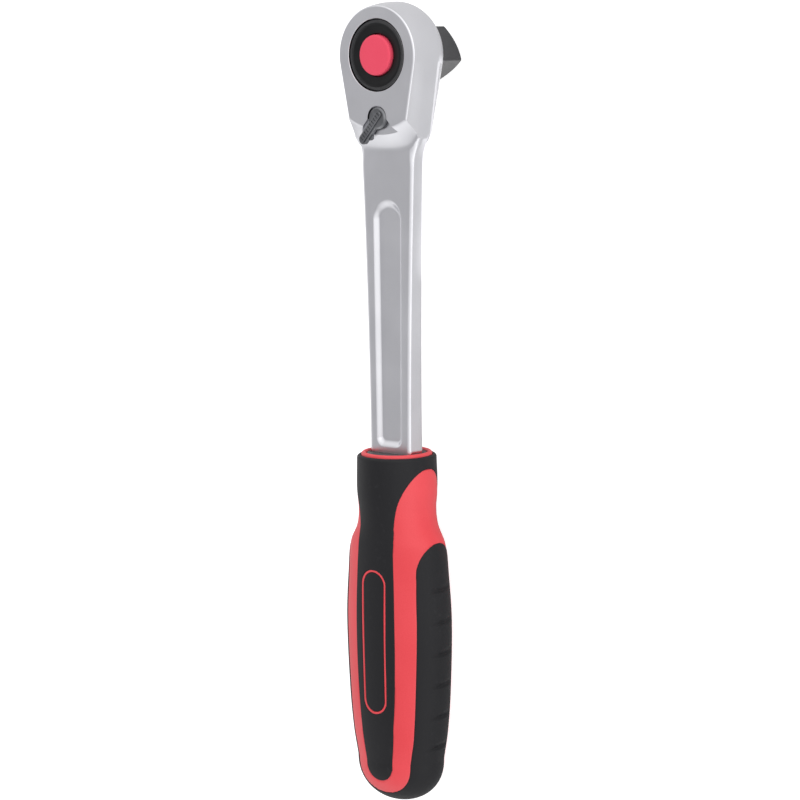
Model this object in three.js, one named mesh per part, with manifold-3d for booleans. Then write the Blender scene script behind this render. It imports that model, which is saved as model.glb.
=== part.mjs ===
// Reversible socket ratchet with a half-inch square drive, a pear-shaped head, a forged flat shank
// and a handle moulded in three shots. Millimetres. X runs from the drive axis to the butt, Y to
// the right of a user who looks at the face with the head up, and Z up through the face. Pieces are
// drawn about the drive axis with the middle of the head at Z = 0, and the whole tool is then
// lifted, so that the centre of the drive square's end is the origin.

import * as THREE from 'three';
import { mergeVertices } from 'three/addons/utils/BufferGeometryUtils.js';
import Module from 'manifold-3d';

const wasm = await Module();
wasm.setup();

// Clearances
const FIT_GAP = 0.3; // between pieces that stay put
const RUN_GAP = 0.3; // round pieces that move

// Head
const HEAD_THICKNESS = 16;
const FACE_RADIUS = 14.6;
const BELLY_RADIUS = 16.15;
const BACK_RADIUS = 13.6;
const BELLY_DEPTH = 9.75; // from the face down to the widest level
const SHOULDER_RADIUS = 22.3; // the arc where the flat face ends towards the shank
const SHOULDER_HALF_WIDTH = 11.4;
const BACK_SHOULDER_RADIUS = 24;
const BACK_SHOULDER_HALF_WIDTH = 8.9;
const SLOPE_LENGTH = 5.7; // from that arc to the flat of the shank, on the middle line
const SLOPE_CURVE = 1.6; // 1 is a straight slope, more is a hollow one

// Shank and tang
const SHANK_REACH = 122.2; // drive axis to the top of the handle
const SHANK_LIFT = 0.9; // the shank and handle lie nearer the face than the head's middle
const SHANK_ROOT_WIDTH = 20.3;
const SHANK_END_WIDTH = 15.6;
const SHANK_WAIST_POWER = 1.6;
const SHANK_FLARE = 1.1; // extra half-width where the shank leaves the head
const SHANK_FLARE_LENGTH = 11.5;
const SHANK_ROOT_THICKNESS = 5.8;
const SHANK_END_THICKNESS = 7;
const SHANK_EDGE_RADIUS = 1.2;
const TANG_WIDTH = 12;
const TANG_THICKNESS = 5.2;
const TANG_LENGTH = 80;
const SHANK_SEAT_DEPTH = 1.8; // how far the full shank enters the mouth of the handle

// Long recess in both flats of the shank
const RECESS_START = 44.5;
const RECESS_LENGTH = 75.3;
const RECESS_HEAD_WIDTH = 9.8;
const RECESS_TAIL_WIDTH = 8.7;
const RECESS_DEPTH = 0.7;
const RECESS_WALL = 1.1; // run of the sloping wall

// Drive gear
const GEAR_TEETH = 72;
const GEAR_TIP_RADIUS = 12.2;
const TOOTH_HEIGHT = 0.5;
const GEAR_THICKNESS = 8.2;
const FRONT_LIP = 2.4; // thickness of the head in front of the gear
const HUB_RADIUS = 10.7;
const HUB_BELOW_FACE = 0.2;
const JOURNAL_RADIUS = 9.2;
const DRIVE_SQUARE = 12.7;
const DRIVE_CORNER_RADIUS = 8.8; // half-diagonal of the square with its corners taken off
const DRIVE_LENGTH = 16.7;
const DRIVE_END_FLAT_RADIUS = 4.5; // flat of the crowned end
const DRIVE_END_CROWN = 2; // how far the end falls from that flat to the corners
const DRIVE_REST_ANGLE = 33;

// Back cover, its seal and its snap ring
const COVER_THICKNESS = 2;
const COVER_RING_THICKNESS = 1;
const COVER_RING_WIDTH = 2.4;
const RING_GROOVE_DEPTH = 0.8;
const RING_MOUTH_ANGLE = 40;
const SEAL_RADIUS = 10.2;
const SEAL_WIRE_RADIUS = 0.4;

// Quick release
const BUTTON_RADIUS = 6.15;
const BUTTON_PROUD = 1;
const BUTTON_CAP = 2.4;
const BUTTON_SKIRT = 1.25;
const BUTTON_TRAVEL = 2.6;
const FLANGE_OVERHANG = 0.55;
const FLANGE_THICKNESS = 1.2;
const BUTTON_EDGE = 0.4;
const BEZEL_THICKNESS = 1.9;
const BEZEL_RADIUS = 9.4;
const BEZEL_RIM = 0.5; // flat rim round the dish of the bezel
const BEZEL_DISH = 0.3;
const PIN_RADIUS = 2.3;
const PIN_NECK_RADIUS = 1.5;
const PIN_RAMP = 2.2;
const PIN_RAMP_ABOVE_BALL = 0.4;
const PIN_END_BELOW_BALL = 1.65;
const PIN_NECK_LENGTH = 1.8;
const PIN_SEAT = 1.2; // how far the pin enters the button's cap
const BALL_RADIUS = 2.2;
const BALL_PROUD = 0.8;
const BALL_FROM_END = 7.8;
const BALL_FLAT_ANGLE = 270; // which flat of the square carries the ball
const RELEASE_SPRING_TURNS = 3;
const RELEASE_SPRING_RADIUS = 3.9;
const RELEASE_WIRE_RADIUS = 0.3;

// Reverse lever, its plunger and the pawl
const LEVER_PIVOT = 19;
const LEVER_THROW = 83;
const LEVER_DISC_RADIUS = 3.4;
const LEVER_DISC_THICKNESS = 1.3;
const LEVER_PROUD = 0.2;
const LEVER_REACH = 9.6;
const LEVER_TAB_WIDTH = 3.2;
const LEVER_RIB_WIDTH = 1.9;
const LEVER_RIB_HEIGHT = 0.5;
const LEVER_RIB_TAIL = 2.4;
const LEVER_FOOT_START = 6.6;
const LEVER_FOOT_LENGTH = 2;
const LEVER_FOOT_HEIGHT = 0.9;
const LEVER_SHAFT_RADIUS = 3.1;
const LEVER_FAN_GAP = 0.5; // between the tab and the walls of the milled fan that it swings in
const SHAFT_FOOT_DEPTH = 2.1; // of the shaft's lower bearing, below the pawl
const SHAFT_RING_THICKNESS = 0.7;
const SHAFT_RING_INNER = 2.75;
const SHAFT_RING_OUTER = 3.85;
const PLUNGER_RADIUS = 0.95;
const PLUNGER_LENGTH = 3.75;
const PLUNGER_BORE_WALL = 0.6; // left behind the plunger's spring
const PLUNGER_TIP_GAP = 0.35;
const PAWL_SPRING_TURNS = 3;
const PAWL_SPRING_RADIUS = 0.7;
const PAWL_WIRE_RADIUS = 0.18;
const PAWL_PIVOT = 13.2;
const PAWL_ROCK = 8;
const PAWL_OUTER_RADIUS = 15.4;
const PAWL_HALF_ANGLE = 36;
const PAWL_BACK_RADIUS = 4.7; // hollow back, about the lever
const TOOTH_GAP = 0.2;
const POCKET_SPARE_ANGLE = 5;

// Handle: places along it, and half-width by half-depth there
const HANDLE_LENGTH = 111.8;
const COLLAR_SIZE = [12.4, 12.4];
const BAND_SIZE = [12.7, 12.5];
const WAIST_SIZE = [12.35, 12.1];
const FLARE_SIZE = [13.45, 11.8];
const RISE_SIZE = [16.55, 12.05];
const SHOULDER_SIZE = [17.65, 12.45];
const SWELL_SIZE = [18.7, 12.75];
const EASE_SIZE = [17.9, 12.55];
const TAPER_SIZE = [16.65, 12.1];
const HEEL_SIZE = [15.05, 11.3];
const BAND_PLACE = 12.8; // from the top of the handle
const WAIST_PLACE = 18.3;
const FLARE_PLACE = 23.3;
const RISE_PLACE = 28.8;
const SHOULDER_PLACE = 37.8;
const SWELL_PLACE = 53.3;
const EASE_FROM_BUTT = 36;
const TAPER_FROM_BUTT = 23;
const HEEL_FROM_BUTT = 14;
const BUTT_POWER = 2.3; // 2 is a half-ellipse, more is blunter
const LIP_HEIGHT = 0.9; // red lip above the soft collar
const GRIP_SKIN = 1; // thickness of the soft black shot
const SLEEVE_RADIUS = 9.3;
const SLEEVE_BELOW_LIP = 0.5;
const SLEEVE_END_WALL = 3;

// Where the colours meet on the handle, in side view
const WINDOW_START = 4.8; // top of the red arch, from the top of the handle
const WINDOW_ARCH_LENGTH = 19;
const WINDOW_POWER = 3.3; // 2 is a half-ellipse, more is fuller
// Soft tongues in plan: places as shares of the handle's length from its top, and half-widths there
const TONGUE_SHARES = [0.213, 0.311, 0.517, 0.651, 0.741, 0.821, 0.871, 0.928];
const TONGUE_HALF_WIDTHS = [7, 7.4, 7.9, 7.6, 6.9, 6, 5.3, 3.6];
const SADDLE_START = 27.5; // top of the side grips, from the top of the handle
const SADDLE_ARCH_LENGTH = 11;
const SADDLE_POWER = 2.4;
const SADDLE_HEAD_HALF = 8;
const SADDLE_SWELL_HALF = 8.5;
const SADDLE_TAIL_HALF = 8.1;
const GROOVE_COUNT = 6;
const GROOVE_FIRST = 42.3; // from the top of the handle
const GROOVE_PITCH = 10.1;
const GROOVE_HALF_WIDTH = 1.4;
const GROOVE_DEPTH = 0.6;

// Bare name plates in the soft tongues
const PLATE_START = 35.9; // from the top of the handle
const PLATE_LENGTH = 46;
const PLATE_HEAD_WIDTH = 9.8;
const PLATE_TAIL_WIDTH = 9.3;
const PLATE_FRAME = 0.8; // width of the red line round the plate

// Fineness of round shapes
const ROUND_STEPS = 36;
const SMALL_STEPS = 20;
const HANDLE_STEPS = 24;
const WIRE_SIDES = 5;
const STEPS_PER_COIL = 8;

// Levels and places that follow from the sizes above
const FACE_Z = HEAD_THICKNESS / 2;
const BACK_Z = -FACE_Z;
const BELLY_Z = FACE_Z - BELLY_DEPTH;
const DRIVE_END_Z = BACK_Z - DRIVE_LENGTH;
const GEAR_TOP_Z = FACE_Z - FRONT_LIP - RUN_GAP;
const GEAR_BOTTOM_Z = GEAR_TOP_Z - GEAR_THICKNESS;
const CHAMBER_TOP_Z = FACE_Z - FRONT_LIP;
const COVER_TOP_Z = GEAR_BOTTOM_Z - RUN_GAP;
const COVER_BOTTOM_Z = COVER_TOP_Z - COVER_THICKNESS;
const RING_TOP_Z = COVER_BOTTOM_Z - FIT_GAP;
const RING_BOTTOM_Z = RING_TOP_Z - COVER_RING_THICKNESS;
const GEAR_BORE_RADIUS = GEAR_TIP_RADIUS + RUN_GAP;
const BUTTON_TOP_Z = FACE_Z + BUTTON_PROUD;
const CAP_BOTTOM_Z = BUTTON_TOP_Z - BUTTON_CAP;
const HUB_TOP_Z = FACE_Z - HUB_BELOW_FACE;
const BEZEL_BOTTOM_Z = HUB_TOP_Z - BEZEL_THICKNESS;
const FLANGE_TOP_Z = BEZEL_BOTTOM_Z - RUN_GAP;
const FLANGE_BOTTOM_Z = FLANGE_TOP_Z - FLANGE_THICKNESS;
const FLANGE_RADIUS = BUTTON_RADIUS + FLANGE_OVERHANG;
const WELL_RADIUS = FLANGE_RADIUS + RUN_GAP;
const WELL_FLOOR_Z = FLANGE_BOTTOM_Z - BUTTON_TRAVEL - RUN_GAP;
const PIN_BORE_RADIUS = PIN_RADIUS + RUN_GAP;
const BALL_Z = DRIVE_END_Z + BALL_FROM_END;
const BALL_CENTRE = DRIVE_SQUARE / 2 + BALL_PROUD - BALL_RADIUS;
const PIN_END_Z = BALL_Z - PIN_END_BELOW_BALL;
const LEVER_DISC_BOTTOM_Z = FACE_Z + LEVER_PROUD - LEVER_DISC_THICKNESS;
const COUNTERBORE_Z = LEVER_DISC_BOTTOM_Z - RUN_GAP;
const PAWL_TOP_Z = CHAMBER_TOP_Z - RUN_GAP;
const POCKET_BOTTOM_Z = GEAR_BOTTOM_Z;
const PAWL_BOTTOM_Z = POCKET_BOTTOM_Z + RUN_GAP;
const PAWL_MIDDLE_Z = (PAWL_TOP_Z + PAWL_BOTTOM_Z) / 2;
const SHAFT_END_Z = POCKET_BOTTOM_Z - SHAFT_FOOT_DEPTH;
const SHAFT_BORE_RADIUS = LEVER_SHAFT_RADIUS + RUN_GAP;
// Plunger places are measured from the lever's pivot, away from the tab
const PLUNGER_TIP = PAWL_BACK_RADIUS - PLUNGER_TIP_GAP;
const PLUNGER_TAIL = PLUNGER_TIP - PLUNGER_LENGTH;
const SPRING_BACK = PLUNGER_BORE_WALL + FIT_GAP - LEVER_SHAFT_RADIUS;
const SLOPE_END = SHOULDER_RADIUS + SLOPE_LENGTH;
const BUTT_X = SHANK_REACH + HANDLE_LENGTH;
const COLLAR_X = SHANK_REACH + LIP_HEIGHT;
const SHANK_SEAT_X = SHANK_REACH + SHANK_SEAT_DEPTH;
const TONGUE_STATIONS = TONGUE_SHARES.map((share, k) => [
  SHANK_REACH + share * HANDLE_LENGTH,
  TONGUE_HALF_WIDTHS[k],
]);
const TONGUE_END_X = TONGUE_STATIONS[TONGUE_STATIONS.length - 1][0];
const TANG_END_X = SHANK_SEAT_X + TANG_LENGTH;
const SLEEVE_END_X = TANG_END_X + FIT_GAP + SLEEVE_END_WALL;
const REACH = 60; // half-size of cutting blocks, past every piece across the tool

const lerp = THREE.MathUtils.lerp;
const radians = THREE.MathUtils.degToRad;

// Finishes
const finish = (color, roughness, metalness) =>
  new THREE.MeshStandardMaterial({ color, roughness, metalness });
const SATIN_CHROME = finish(0xb4b5b9, 0.34, 1);
const DARK_STEEL = finish(0x3a3b3e, 0.45, 0.9);
const GUNMETAL = finish(0x55575a, 0.4, 0.9);
const BRIGHT_STEEL = finish(0xc4c4c4, 0.25, 1);
const SPRING_STEEL = finish(0x8d8f92, 0.3, 1);
const RED_PLASTIC = finish(0xd8333c, 0.42, 0);
const SOFT_BLACK = finish(0x232325, 0.62, 0);
const HARD_BLACK = finish(0x1b1b1d, 0.5, 0);

// A closed geometry becomes a solid that can be joined and cut
function solid(geometry) {
  const bare = geometry.clone();
  bare.deleteAttribute('normal');
  bare.deleteAttribute('uv');
  const merged = mergeVertices(bare, 1e-4);
  const points = merged.attributes.position.array;
  const corner = (index) => new THREE.Vector3().fromArray(points, 3 * index);
  const triangles = [];
  let volume = 0;
  for (let i = 0; i < merged.index.count; i += 3) {
    const [a, b, c] = [0, 1, 2].map((k) => merged.index.getX(i + k));
    if (a !== b && b !== c && c !== a) {
      triangles.push([a, b, c]);
      volume += corner(a).dot(corner(b).cross(corner(c)));
    }
  }
  const outward = volume > 0 ? triangles : triangles.map(([a, b, c]) => [a, c, b]);
  return new wasm.Manifold(
    new wasm.Mesh({
      numProp: 3,
      vertProperties: new Float32Array(points),
      triVerts: new Uint32Array(outward.flat()),
    }),
  );
}

function named(name, piece, material) {
  const shape = piece.getMesh();
  const geometry = new THREE.BufferGeometry();
  geometry.setAttribute('position', new THREE.BufferAttribute(shape.vertProperties, 3));
  geometry.setIndex(new THREE.BufferAttribute(shape.triVerts, 1));
  geometry.computeVertexNormals();
  const mesh = new THREE.Mesh(geometry, material);
  mesh.name = name;
  return mesh;
}

// Turned about Z from pairs of radius and height
function turned(profile, steps = ROUND_STEPS) {
  const points = profile.map(([radius, height]) => new THREE.Vector2(radius, height));
  return new THREE.LatheGeometry(points, steps).rotateX(Math.PI / 2);
}

function rod(radius, bottom, top, steps = ROUND_STEPS) {
  return turned([[0, bottom], [radius, bottom], [radius, top], [0, top]], steps);
}

function tube(inner, outer, bottom, top, steps = ROUND_STEPS) {
  return turned([[inner, bottom], [outer, bottom], [outer, top], [inner, top], [inner, bottom]], steps);
}

// A flat outline drawn out from one level to another
function plate(outline, bottom, top) {
  const shape = outline instanceof THREE.Shape ? outline : new THREE.Shape(outline);
  const options = { depth: top - bottom, bevelEnabled: false, curveSegments: ROUND_STEPS / 4 };
  return new THREE.ExtrudeGeometry(shape, options).translate(0, 0, bottom);
}

function block(xLow, xHigh, yLow, yHigh, zLow, zHigh) {
  const box = new THREE.BoxGeometry(xHigh - xLow, yHigh - yLow, zHigh - zLow);
  return box.translate((xLow + xHigh) / 2, (yLow + yHigh) / 2, (zLow + zHigh) / 2);
}

// A skin over rings of equally many points, closed by a fan at each end
function lofted(rings) {
  const count = rings[0].length;
  const middle = (ring) =>
    ring.reduce((sum, point) => sum.add(point), new THREE.Vector3()).divideScalar(count);
  const points = [...rings.flat(), middle(rings[0]), middle(rings[rings.length - 1])];
  const firstMiddle = points.length - 2;
  const lastMiddle = points.length - 1;
  const lastRing = (rings.length - 1) * count;
  const faces = [];
  for (let k = 0; k < count; k += 1) {
    const next = (k + 1) % count;
    for (let r = 0; r < lastRing; r += count) {
      faces.push(r + k, r + next, r + count + k, r + next, r + count + next, r + count + k);
    }
    faces.push(firstMiddle, next, k, lastMiddle, lastRing + k, lastRing + next);
  }
  const geometry = new THREE.BufferGeometry().setFromPoints(points);
  geometry.setIndex(faces);
  return geometry;
}

// A sector of a circle about the origin, centred on +X
function sector(radius, halfAngle) {
  const shape = new THREE.Shape();
  const turn = radians(halfAngle);
  shape.moveTo(0, 0);
  shape.lineTo(radius * Math.cos(turn), -radius * Math.sin(turn));
  shape.absarc(0, 0, radius, -turn, turn, false);
  return shape;
}

// A bar along X with a round end at both ends, which may differ in width
function capsule(start, length, headWidth, tailWidth) {
  const shape = new THREE.Shape();
  const headRadius = headWidth / 2;
  const tailRadius = tailWidth / 2;
  const quarter = Math.PI / 2;
  shape.absarc(start + headRadius, 0, headRadius, quarter, 3 * quarter, false);
  shape.absarc(start + length - tailRadius, 0, tailRadius, -quarter, quarter, false);
  return shape.getPoints(SMALL_STEPS / 2);
}

// A round wire wound about Z, with its ends cut square
function spring(radius, wire, bottom, top, turns) {
  const rings = [];
  const steps = Math.round(STEPS_PER_COIL * turns);
  for (let step = 0; step <= steps; step += 1) {
    const turn = (step / steps) * turns * 2 * Math.PI;
    const height = lerp(bottom + wire, top - wire, step / steps);
    const ring = [];
    for (let side = 0; side < WIRE_SIDES; side += 1) {
      const around = (side / WIRE_SIDES) * 2 * Math.PI;
      const out = radius + wire * Math.cos(around);
      const up = height + wire * Math.sin(around);
      ring.push(new THREE.Vector3(out * Math.cos(turn), out * Math.sin(turn), up));
    }
    rings.push(ring);
  }
  return lofted(rings);
}

// A snap ring about Z with a mouth, whose middle faces the given direction
function snapRing(inner, outer, bottom, top, mouthDirection) {
  const cut = plate(sector(2 * outer, RING_MOUTH_ANGLE / 2), bottom - 1, top + 1);
  return solid(tube(inner, outer, bottom, top)).subtract(solid(cut.rotateZ(radians(mouthDirection))));
}

// Pointed teeth all round, grown by a gap where they cut the pawl
function toothOutline(grow) {
  const points = [];
  for (let tooth = 0; tooth < 2 * GEAR_TEETH; tooth += 1) {
    const radius = GEAR_TIP_RADIUS + grow - (tooth % 2) * TOOTH_HEIGHT;
    const angle = (tooth / GEAR_TEETH) * Math.PI;
    points.push(new THREE.Vector2(radius * Math.cos(angle), radius * Math.sin(angle)));
  }
  return points;
}

// Shank sizes along X
function shankSection(x) {
  const along = THREE.MathUtils.clamp((x - SLOPE_END) / (SHANK_REACH - SLOPE_END), 0, 1);
  const thin = THREE.MathUtils.clamp((x - RECESS_START) / (SHANK_REACH - RECESS_START), 0, 1);
  const taper = (1 - along) ** SHANK_WAIST_POWER;
  const flare = 1 - THREE.MathUtils.clamp((x - SLOPE_END) / SHANK_FLARE_LENGTH, 0, 1);
  return {
    halfWidth: lerp(SHANK_END_WIDTH, SHANK_ROOT_WIDTH, taper) / 2 + SHANK_FLARE * flare ** 2,
    halfThickness: lerp(SHANK_ROOT_THICKNESS, SHANK_END_THICKNESS, thin) / 2,
  };
}

function barrelRadius(z) {
  const rim = z > BELLY_Z ? FACE_RADIUS : BACK_RADIUS;
  const rimZ = z > BELLY_Z ? FACE_Z : BACK_Z;
  return BELLY_RADIUS - (BELLY_RADIUS - rim) * ((z - BELLY_Z) / (rimZ - BELLY_Z)) ** 2;
}

// Level of a flat of the shank at its root
const FRONT_FLAT_Z = SHANK_LIFT + SHANK_ROOT_THICKNESS / 2;
const BACK_FLAT_Z = SHANK_LIFT - SHANK_ROOT_THICKNESS / 2;

// The head's outline at one level: a round end, straight sides and the foot of the slope
function headRing(z) {
  const height = z > 0 ? FACE_Z - FRONT_FLAT_Z : BACK_FLAT_Z - BACK_Z;
  const fall = Math.min(1, (FACE_Z - Math.abs(z)) / height) ** SLOPE_CURVE;
  const shoulderRadius = z > 0 ? SHOULDER_RADIUS : BACK_SHOULDER_RADIUS;
  const shoulderHalf = z > 0 ? SHOULDER_HALF_WIDTH : BACK_SHOULDER_HALF_WIDTH;
  const footX = (y) => lerp(Math.sqrt(shoulderRadius ** 2 - y ** 2), SLOPE_END, fall);
  const cornerY = lerp(shoulderHalf, shankSection(SLOPE_END).halfWidth, fall);
  const cornerX = footX(cornerY);
  const radius = barrelRadius(z);
  const touch = Math.atan2(cornerY, cornerX) + Math.acos(radius / Math.hypot(cornerX, cornerY));
  const arcSteps = 28;
  const footSteps = 8;
  const ring = [];
  for (let k = 0; k <= arcSteps; k += 1) {
    const angle = lerp(touch, 2 * Math.PI - touch, k / arcSteps);
    ring.push(new THREE.Vector3(radius * Math.cos(angle), radius * Math.sin(angle), z));
  }
  for (let k = 0; k <= footSteps; k += 1) {
    const y = lerp(-cornerY, cornerY, k / footSteps);
    ring.push(new THREE.Vector3(footX(y), y, z));
  }
  return ring;
}

function headBlank() {
  const levels = 5;
  const heights = [BELLY_Z];
  for (let k = 0; k <= levels; k += 1) {
    heights.push(lerp(FRONT_FLAT_Z, FACE_Z, k / levels), lerp(BACK_FLAT_Z, BACK_Z, k / levels));
  }
  return solid(lofted(heights.sort((a, b) => a - b).map(headRing)));
}

// A rectangle across X with round corners, about the shank's middle
function roundedSection(x, halfWidth, halfThickness, edge) {
  const ring = [];
  const cornerSteps = 3;
  for (let corner = 0; corner < 4; corner += 1) {
    const side = corner === 0 || corner === 3 ? 1 : -1;
    const level = corner < 2 ? 1 : -1;
    for (let k = 0; k <= cornerSteps; k += 1) {
      const angle = ((corner + k / cornerSteps) * Math.PI) / 2;
      const y = side * (halfWidth - edge) + edge * Math.cos(angle);
      const z = level * (halfThickness - edge) + edge * Math.sin(angle);
      ring.push(new THREE.Vector3(x, y, SHANK_LIFT + z));
    }
  }
  return ring;
}

function shankBlank() {
  const flare = [0, 0.25, 0.5, 0.75].map((share) => SLOPE_END + share * SHANK_FLARE_LENGTH);
  const rings = [LEVER_PIVOT + SHAFT_BORE_RADIUS, ...flare, RECESS_START]
    .concat([0.15, 0.3, 0.5, 0.75].map((share) => lerp(RECESS_START, SHANK_REACH, share)))
    .concat([SHANK_REACH, SHANK_SEAT_X])
    .map((x) => {
      const { halfWidth, halfThickness } = shankSection(x);
      return roundedSection(x, halfWidth, halfThickness, SHANK_EDGE_RADIUS);
    });
  const tang = block(
    SHANK_SEAT_X - SHANK_SEAT_DEPTH,
    TANG_END_X,
    -TANG_WIDTH / 2,
    TANG_WIDTH / 2,
    SHANK_LIFT - TANG_THICKNESS / 2,
    SHANK_LIFT + TANG_THICKNESS / 2,
  );
  return solid(lofted(rings)).add(solid(tang));
}

// The recess narrows towards the handle and has a round end at the head and sloping walls
function recessRing(shrink, rise) {
  const ring = [];
  const tail = RECESS_START + RECESS_LENGTH - shrink;
  const headRadius = RECESS_HEAD_WIDTH / 2 - shrink;
  const tailHalf = RECESS_TAIL_WIDTH / 2 - shrink;
  const headX = RECESS_START + RECESS_HEAD_WIDTH / 2;
  const place = (x, y) => ring.push(new THREE.Vector3(x, y, shankSection(x).halfThickness + rise));
  const arcSteps = 12;
  for (let k = 0; k <= arcSteps; k += 1) {
    const angle = lerp(0.5, 1.5, k / arcSteps) * Math.PI;
    place(headX + headRadius * Math.cos(angle), headRadius * Math.sin(angle));
  }
  place(tail, -tailHalf);
  place(tail, tailHalf);
  return ring;
}

function recess(direction) {
  const cut = lofted([recessRing(RECESS_WALL, -RECESS_DEPTH), recessRing(-RECESS_WALL, RECESS_DEPTH)]);
  const turn = direction > 0 ? 0 : Math.PI;
  return solid(cut.rotateX(turn).translate(0, 0, SHANK_LIFT));
}

function gearChamber() {
  const over = 1;
  const grooveRadius = GEAR_BORE_RADIUS + RING_GROOVE_DEPTH;
  const mouth = HUB_RADIUS + RUN_GAP;
  return solid(
    turned([
      [0, FACE_Z + over],
      [mouth, FACE_Z + over],
      [mouth, CHAMBER_TOP_Z],
      [GEAR_BORE_RADIUS, CHAMBER_TOP_Z],
      [GEAR_BORE_RADIUS, COVER_BOTTOM_Z],
      [grooveRadius, COVER_BOTTOM_Z],
      [grooveRadius, RING_BOTTOM_Z - FIT_GAP],
      [GEAR_BORE_RADIUS, RING_BOTTOM_Z - FIT_GAP],
      [GEAR_BORE_RADIUS, BACK_Z - over],
      [0, BACK_Z - over],
    ]),
  );
}

function pawlPocket() {
  const lift = PAWL_OUTER_RADIUS * Math.sin(radians(PAWL_HALF_ANGLE)) * Math.sin(radians(PAWL_ROCK / 2));
  const outer = PAWL_OUTER_RADIUS + lift + RUN_GAP;
  const sweep = plate(sector(outer, PAWL_HALF_ANGLE + POCKET_SPARE_ANGLE), POCKET_BOTTOM_Z, CHAMBER_TOP_Z);
  const round = rod(SHAFT_RING_OUTER + RUN_GAP, POCKET_BOTTOM_Z, CHAMBER_TOP_Z, SMALL_STEPS);
  const swing = plate(sector(PLUNGER_TIP + RUN_GAP, 90), POCKET_BOTTOM_Z, CHAMBER_TOP_Z).rotateZ(Math.PI);
  return [round, swing]
    .map((cut) => solid(cut.translate(LEVER_PIVOT, 0, 0)))
    .reduce((sum, cut) => sum.add(cut), solid(sweep));
}

function leverSeat() {
  const over = 2;
  const bore = rod(SHAFT_BORE_RADIUS, SHAFT_END_Z - RUN_GAP, COUNTERBORE_Z + over, SMALL_STEPS);
  const counterbore = rod(LEVER_DISC_RADIUS + RUN_GAP, COUNTERBORE_Z, FACE_Z + over, SMALL_STEPS);
  const swing = LEVER_THROW / 2;
  const fanRadius = LEVER_REACH + LEVER_TAB_WIDTH;
  const fanHalf = LEVER_TAB_WIDTH / 2 + LEVER_FAN_GAP;
  const fan = plate(sector(fanRadius, swing), COUNTERBORE_Z, FACE_Z + over);
  const edges = [-swing, swing].map((angle) =>
    block(0, fanRadius, -fanHalf, fanHalf, COUNTERBORE_Z, FACE_Z + over).rotateZ(radians(angle)),
  );
  return [bore, counterbore, fan, ...edges]
    .map((cut) => solid(cut.translate(LEVER_PIVOT, 0, 0)))
    .reduce((sum, cut) => sum.add(cut));
}

function ratchetBody() {
  return [gearChamber(), pawlPocket(), leverSeat(), recess(1), recess(-1)].reduce(
    (body, cut) => body.subtract(cut),
    headBlank().add(shankBlank()),
  );
}

// The gear, its hub, its journal and the square are one forging, drawn with a flat facing X
function driveGear() {
  const core = turned([
    [0, BACK_Z],
    [JOURNAL_RADIUS, BACK_Z],
    [JOURNAL_RADIUS, GEAR_BOTTOM_Z],
    [HUB_RADIUS, GEAR_BOTTOM_Z],
    [HUB_RADIUS, HUB_TOP_Z],
    [0, HUB_TOP_Z],
  ]);
  const half = DRIVE_SQUARE / 2;
  const cut = Math.sqrt(DRIVE_CORNER_RADIUS ** 2 - half ** 2);
  const corners = [[half, cut], [cut, half], [-cut, half], [-half, cut]];
  const square = [...corners, ...corners.map(([x, y]) => [-x, -y])].map(([x, y]) => new THREE.Vector2(x, y));
  const crownSlope = DRIVE_END_CROWN / (DRIVE_CORNER_RADIUS - DRIVE_END_FLAT_RADIUS);
  const envelope = turned([
    [0, DRIVE_END_Z],
    [DRIVE_END_FLAT_RADIUS, DRIVE_END_Z],
    [JOURNAL_RADIUS, DRIVE_END_Z + crownSlope * (JOURNAL_RADIUS - DRIVE_END_FLAT_RADIUS)],
    [JOURNAL_RADIUS, GEAR_BOTTOM_Z],
    [0, GEAR_BOTTOM_Z],
  ]);
  const over = 1;
  const well = turned([
    [0, HUB_TOP_Z + over],
    [BEZEL_RADIUS + FIT_GAP, HUB_TOP_Z + over],
    [BEZEL_RADIUS + FIT_GAP, BEZEL_BOTTOM_Z - FIT_GAP],
    [WELL_RADIUS, BEZEL_BOTTOM_Z - FIT_GAP],
    [WELL_RADIUS, WELL_FLOOR_Z],
    [PIN_BORE_RADIUS, WELL_FLOOR_Z],
    [PIN_BORE_RADIUS, PIN_END_Z - BUTTON_TRAVEL - RUN_GAP],
    [0, PIN_END_Z - BUTTON_TRAVEL - RUN_GAP],
  ]);
  const ballHole = rod(BALL_RADIUS + RUN_GAP, 0, DRIVE_SQUARE, SMALL_STEPS);
  ballHole.rotateY(Math.PI / 2).rotateZ(radians(BALL_FLAT_ANGLE)).translate(0, 0, BALL_Z);
  return solid(plate(toothOutline(0), GEAR_BOTTOM_Z, GEAR_TOP_Z))
    .add(solid(core))
    .add(solid(plate(square, DRIVE_END_Z, GEAR_BOTTOM_Z)).intersect(solid(envelope)))
    .subtract(solid(well))
    .subtract(solid(ballHole));
}

function backCover() {
  const seatRadius = SEAL_RADIUS + SEAL_WIRE_RADIUS + FIT_GAP;
  const seatZ = COVER_TOP_Z - 2 * SEAL_WIRE_RADIUS - FIT_GAP;
  const outer = GEAR_BORE_RADIUS - FIT_GAP;
  const inner = JOURNAL_RADIUS + RUN_GAP;
  return solid(
    turned([
      [inner, COVER_BOTTOM_Z],
      [outer, COVER_BOTTOM_Z],
      [outer, COVER_TOP_Z],
      [seatRadius, COVER_TOP_Z],
      [seatRadius, seatZ],
      [inner, seatZ],
      [inner, COVER_BOTTOM_Z],
    ]),
  );
}

function coverSnapRing() {
  const outer = GEAR_BORE_RADIUS + RING_GROOVE_DEPTH - FIT_GAP;
  return snapRing(outer - COVER_RING_WIDTH, outer, RING_BOTTOM_Z, RING_TOP_Z, 180);
}

function driveSeal() {
  const seal = new THREE.TorusGeometry(SEAL_RADIUS, SEAL_WIRE_RADIUS, 6, ROUND_STEPS);
  return solid(seal.translate(0, 0, COVER_TOP_Z - SEAL_WIRE_RADIUS));
}

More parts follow.
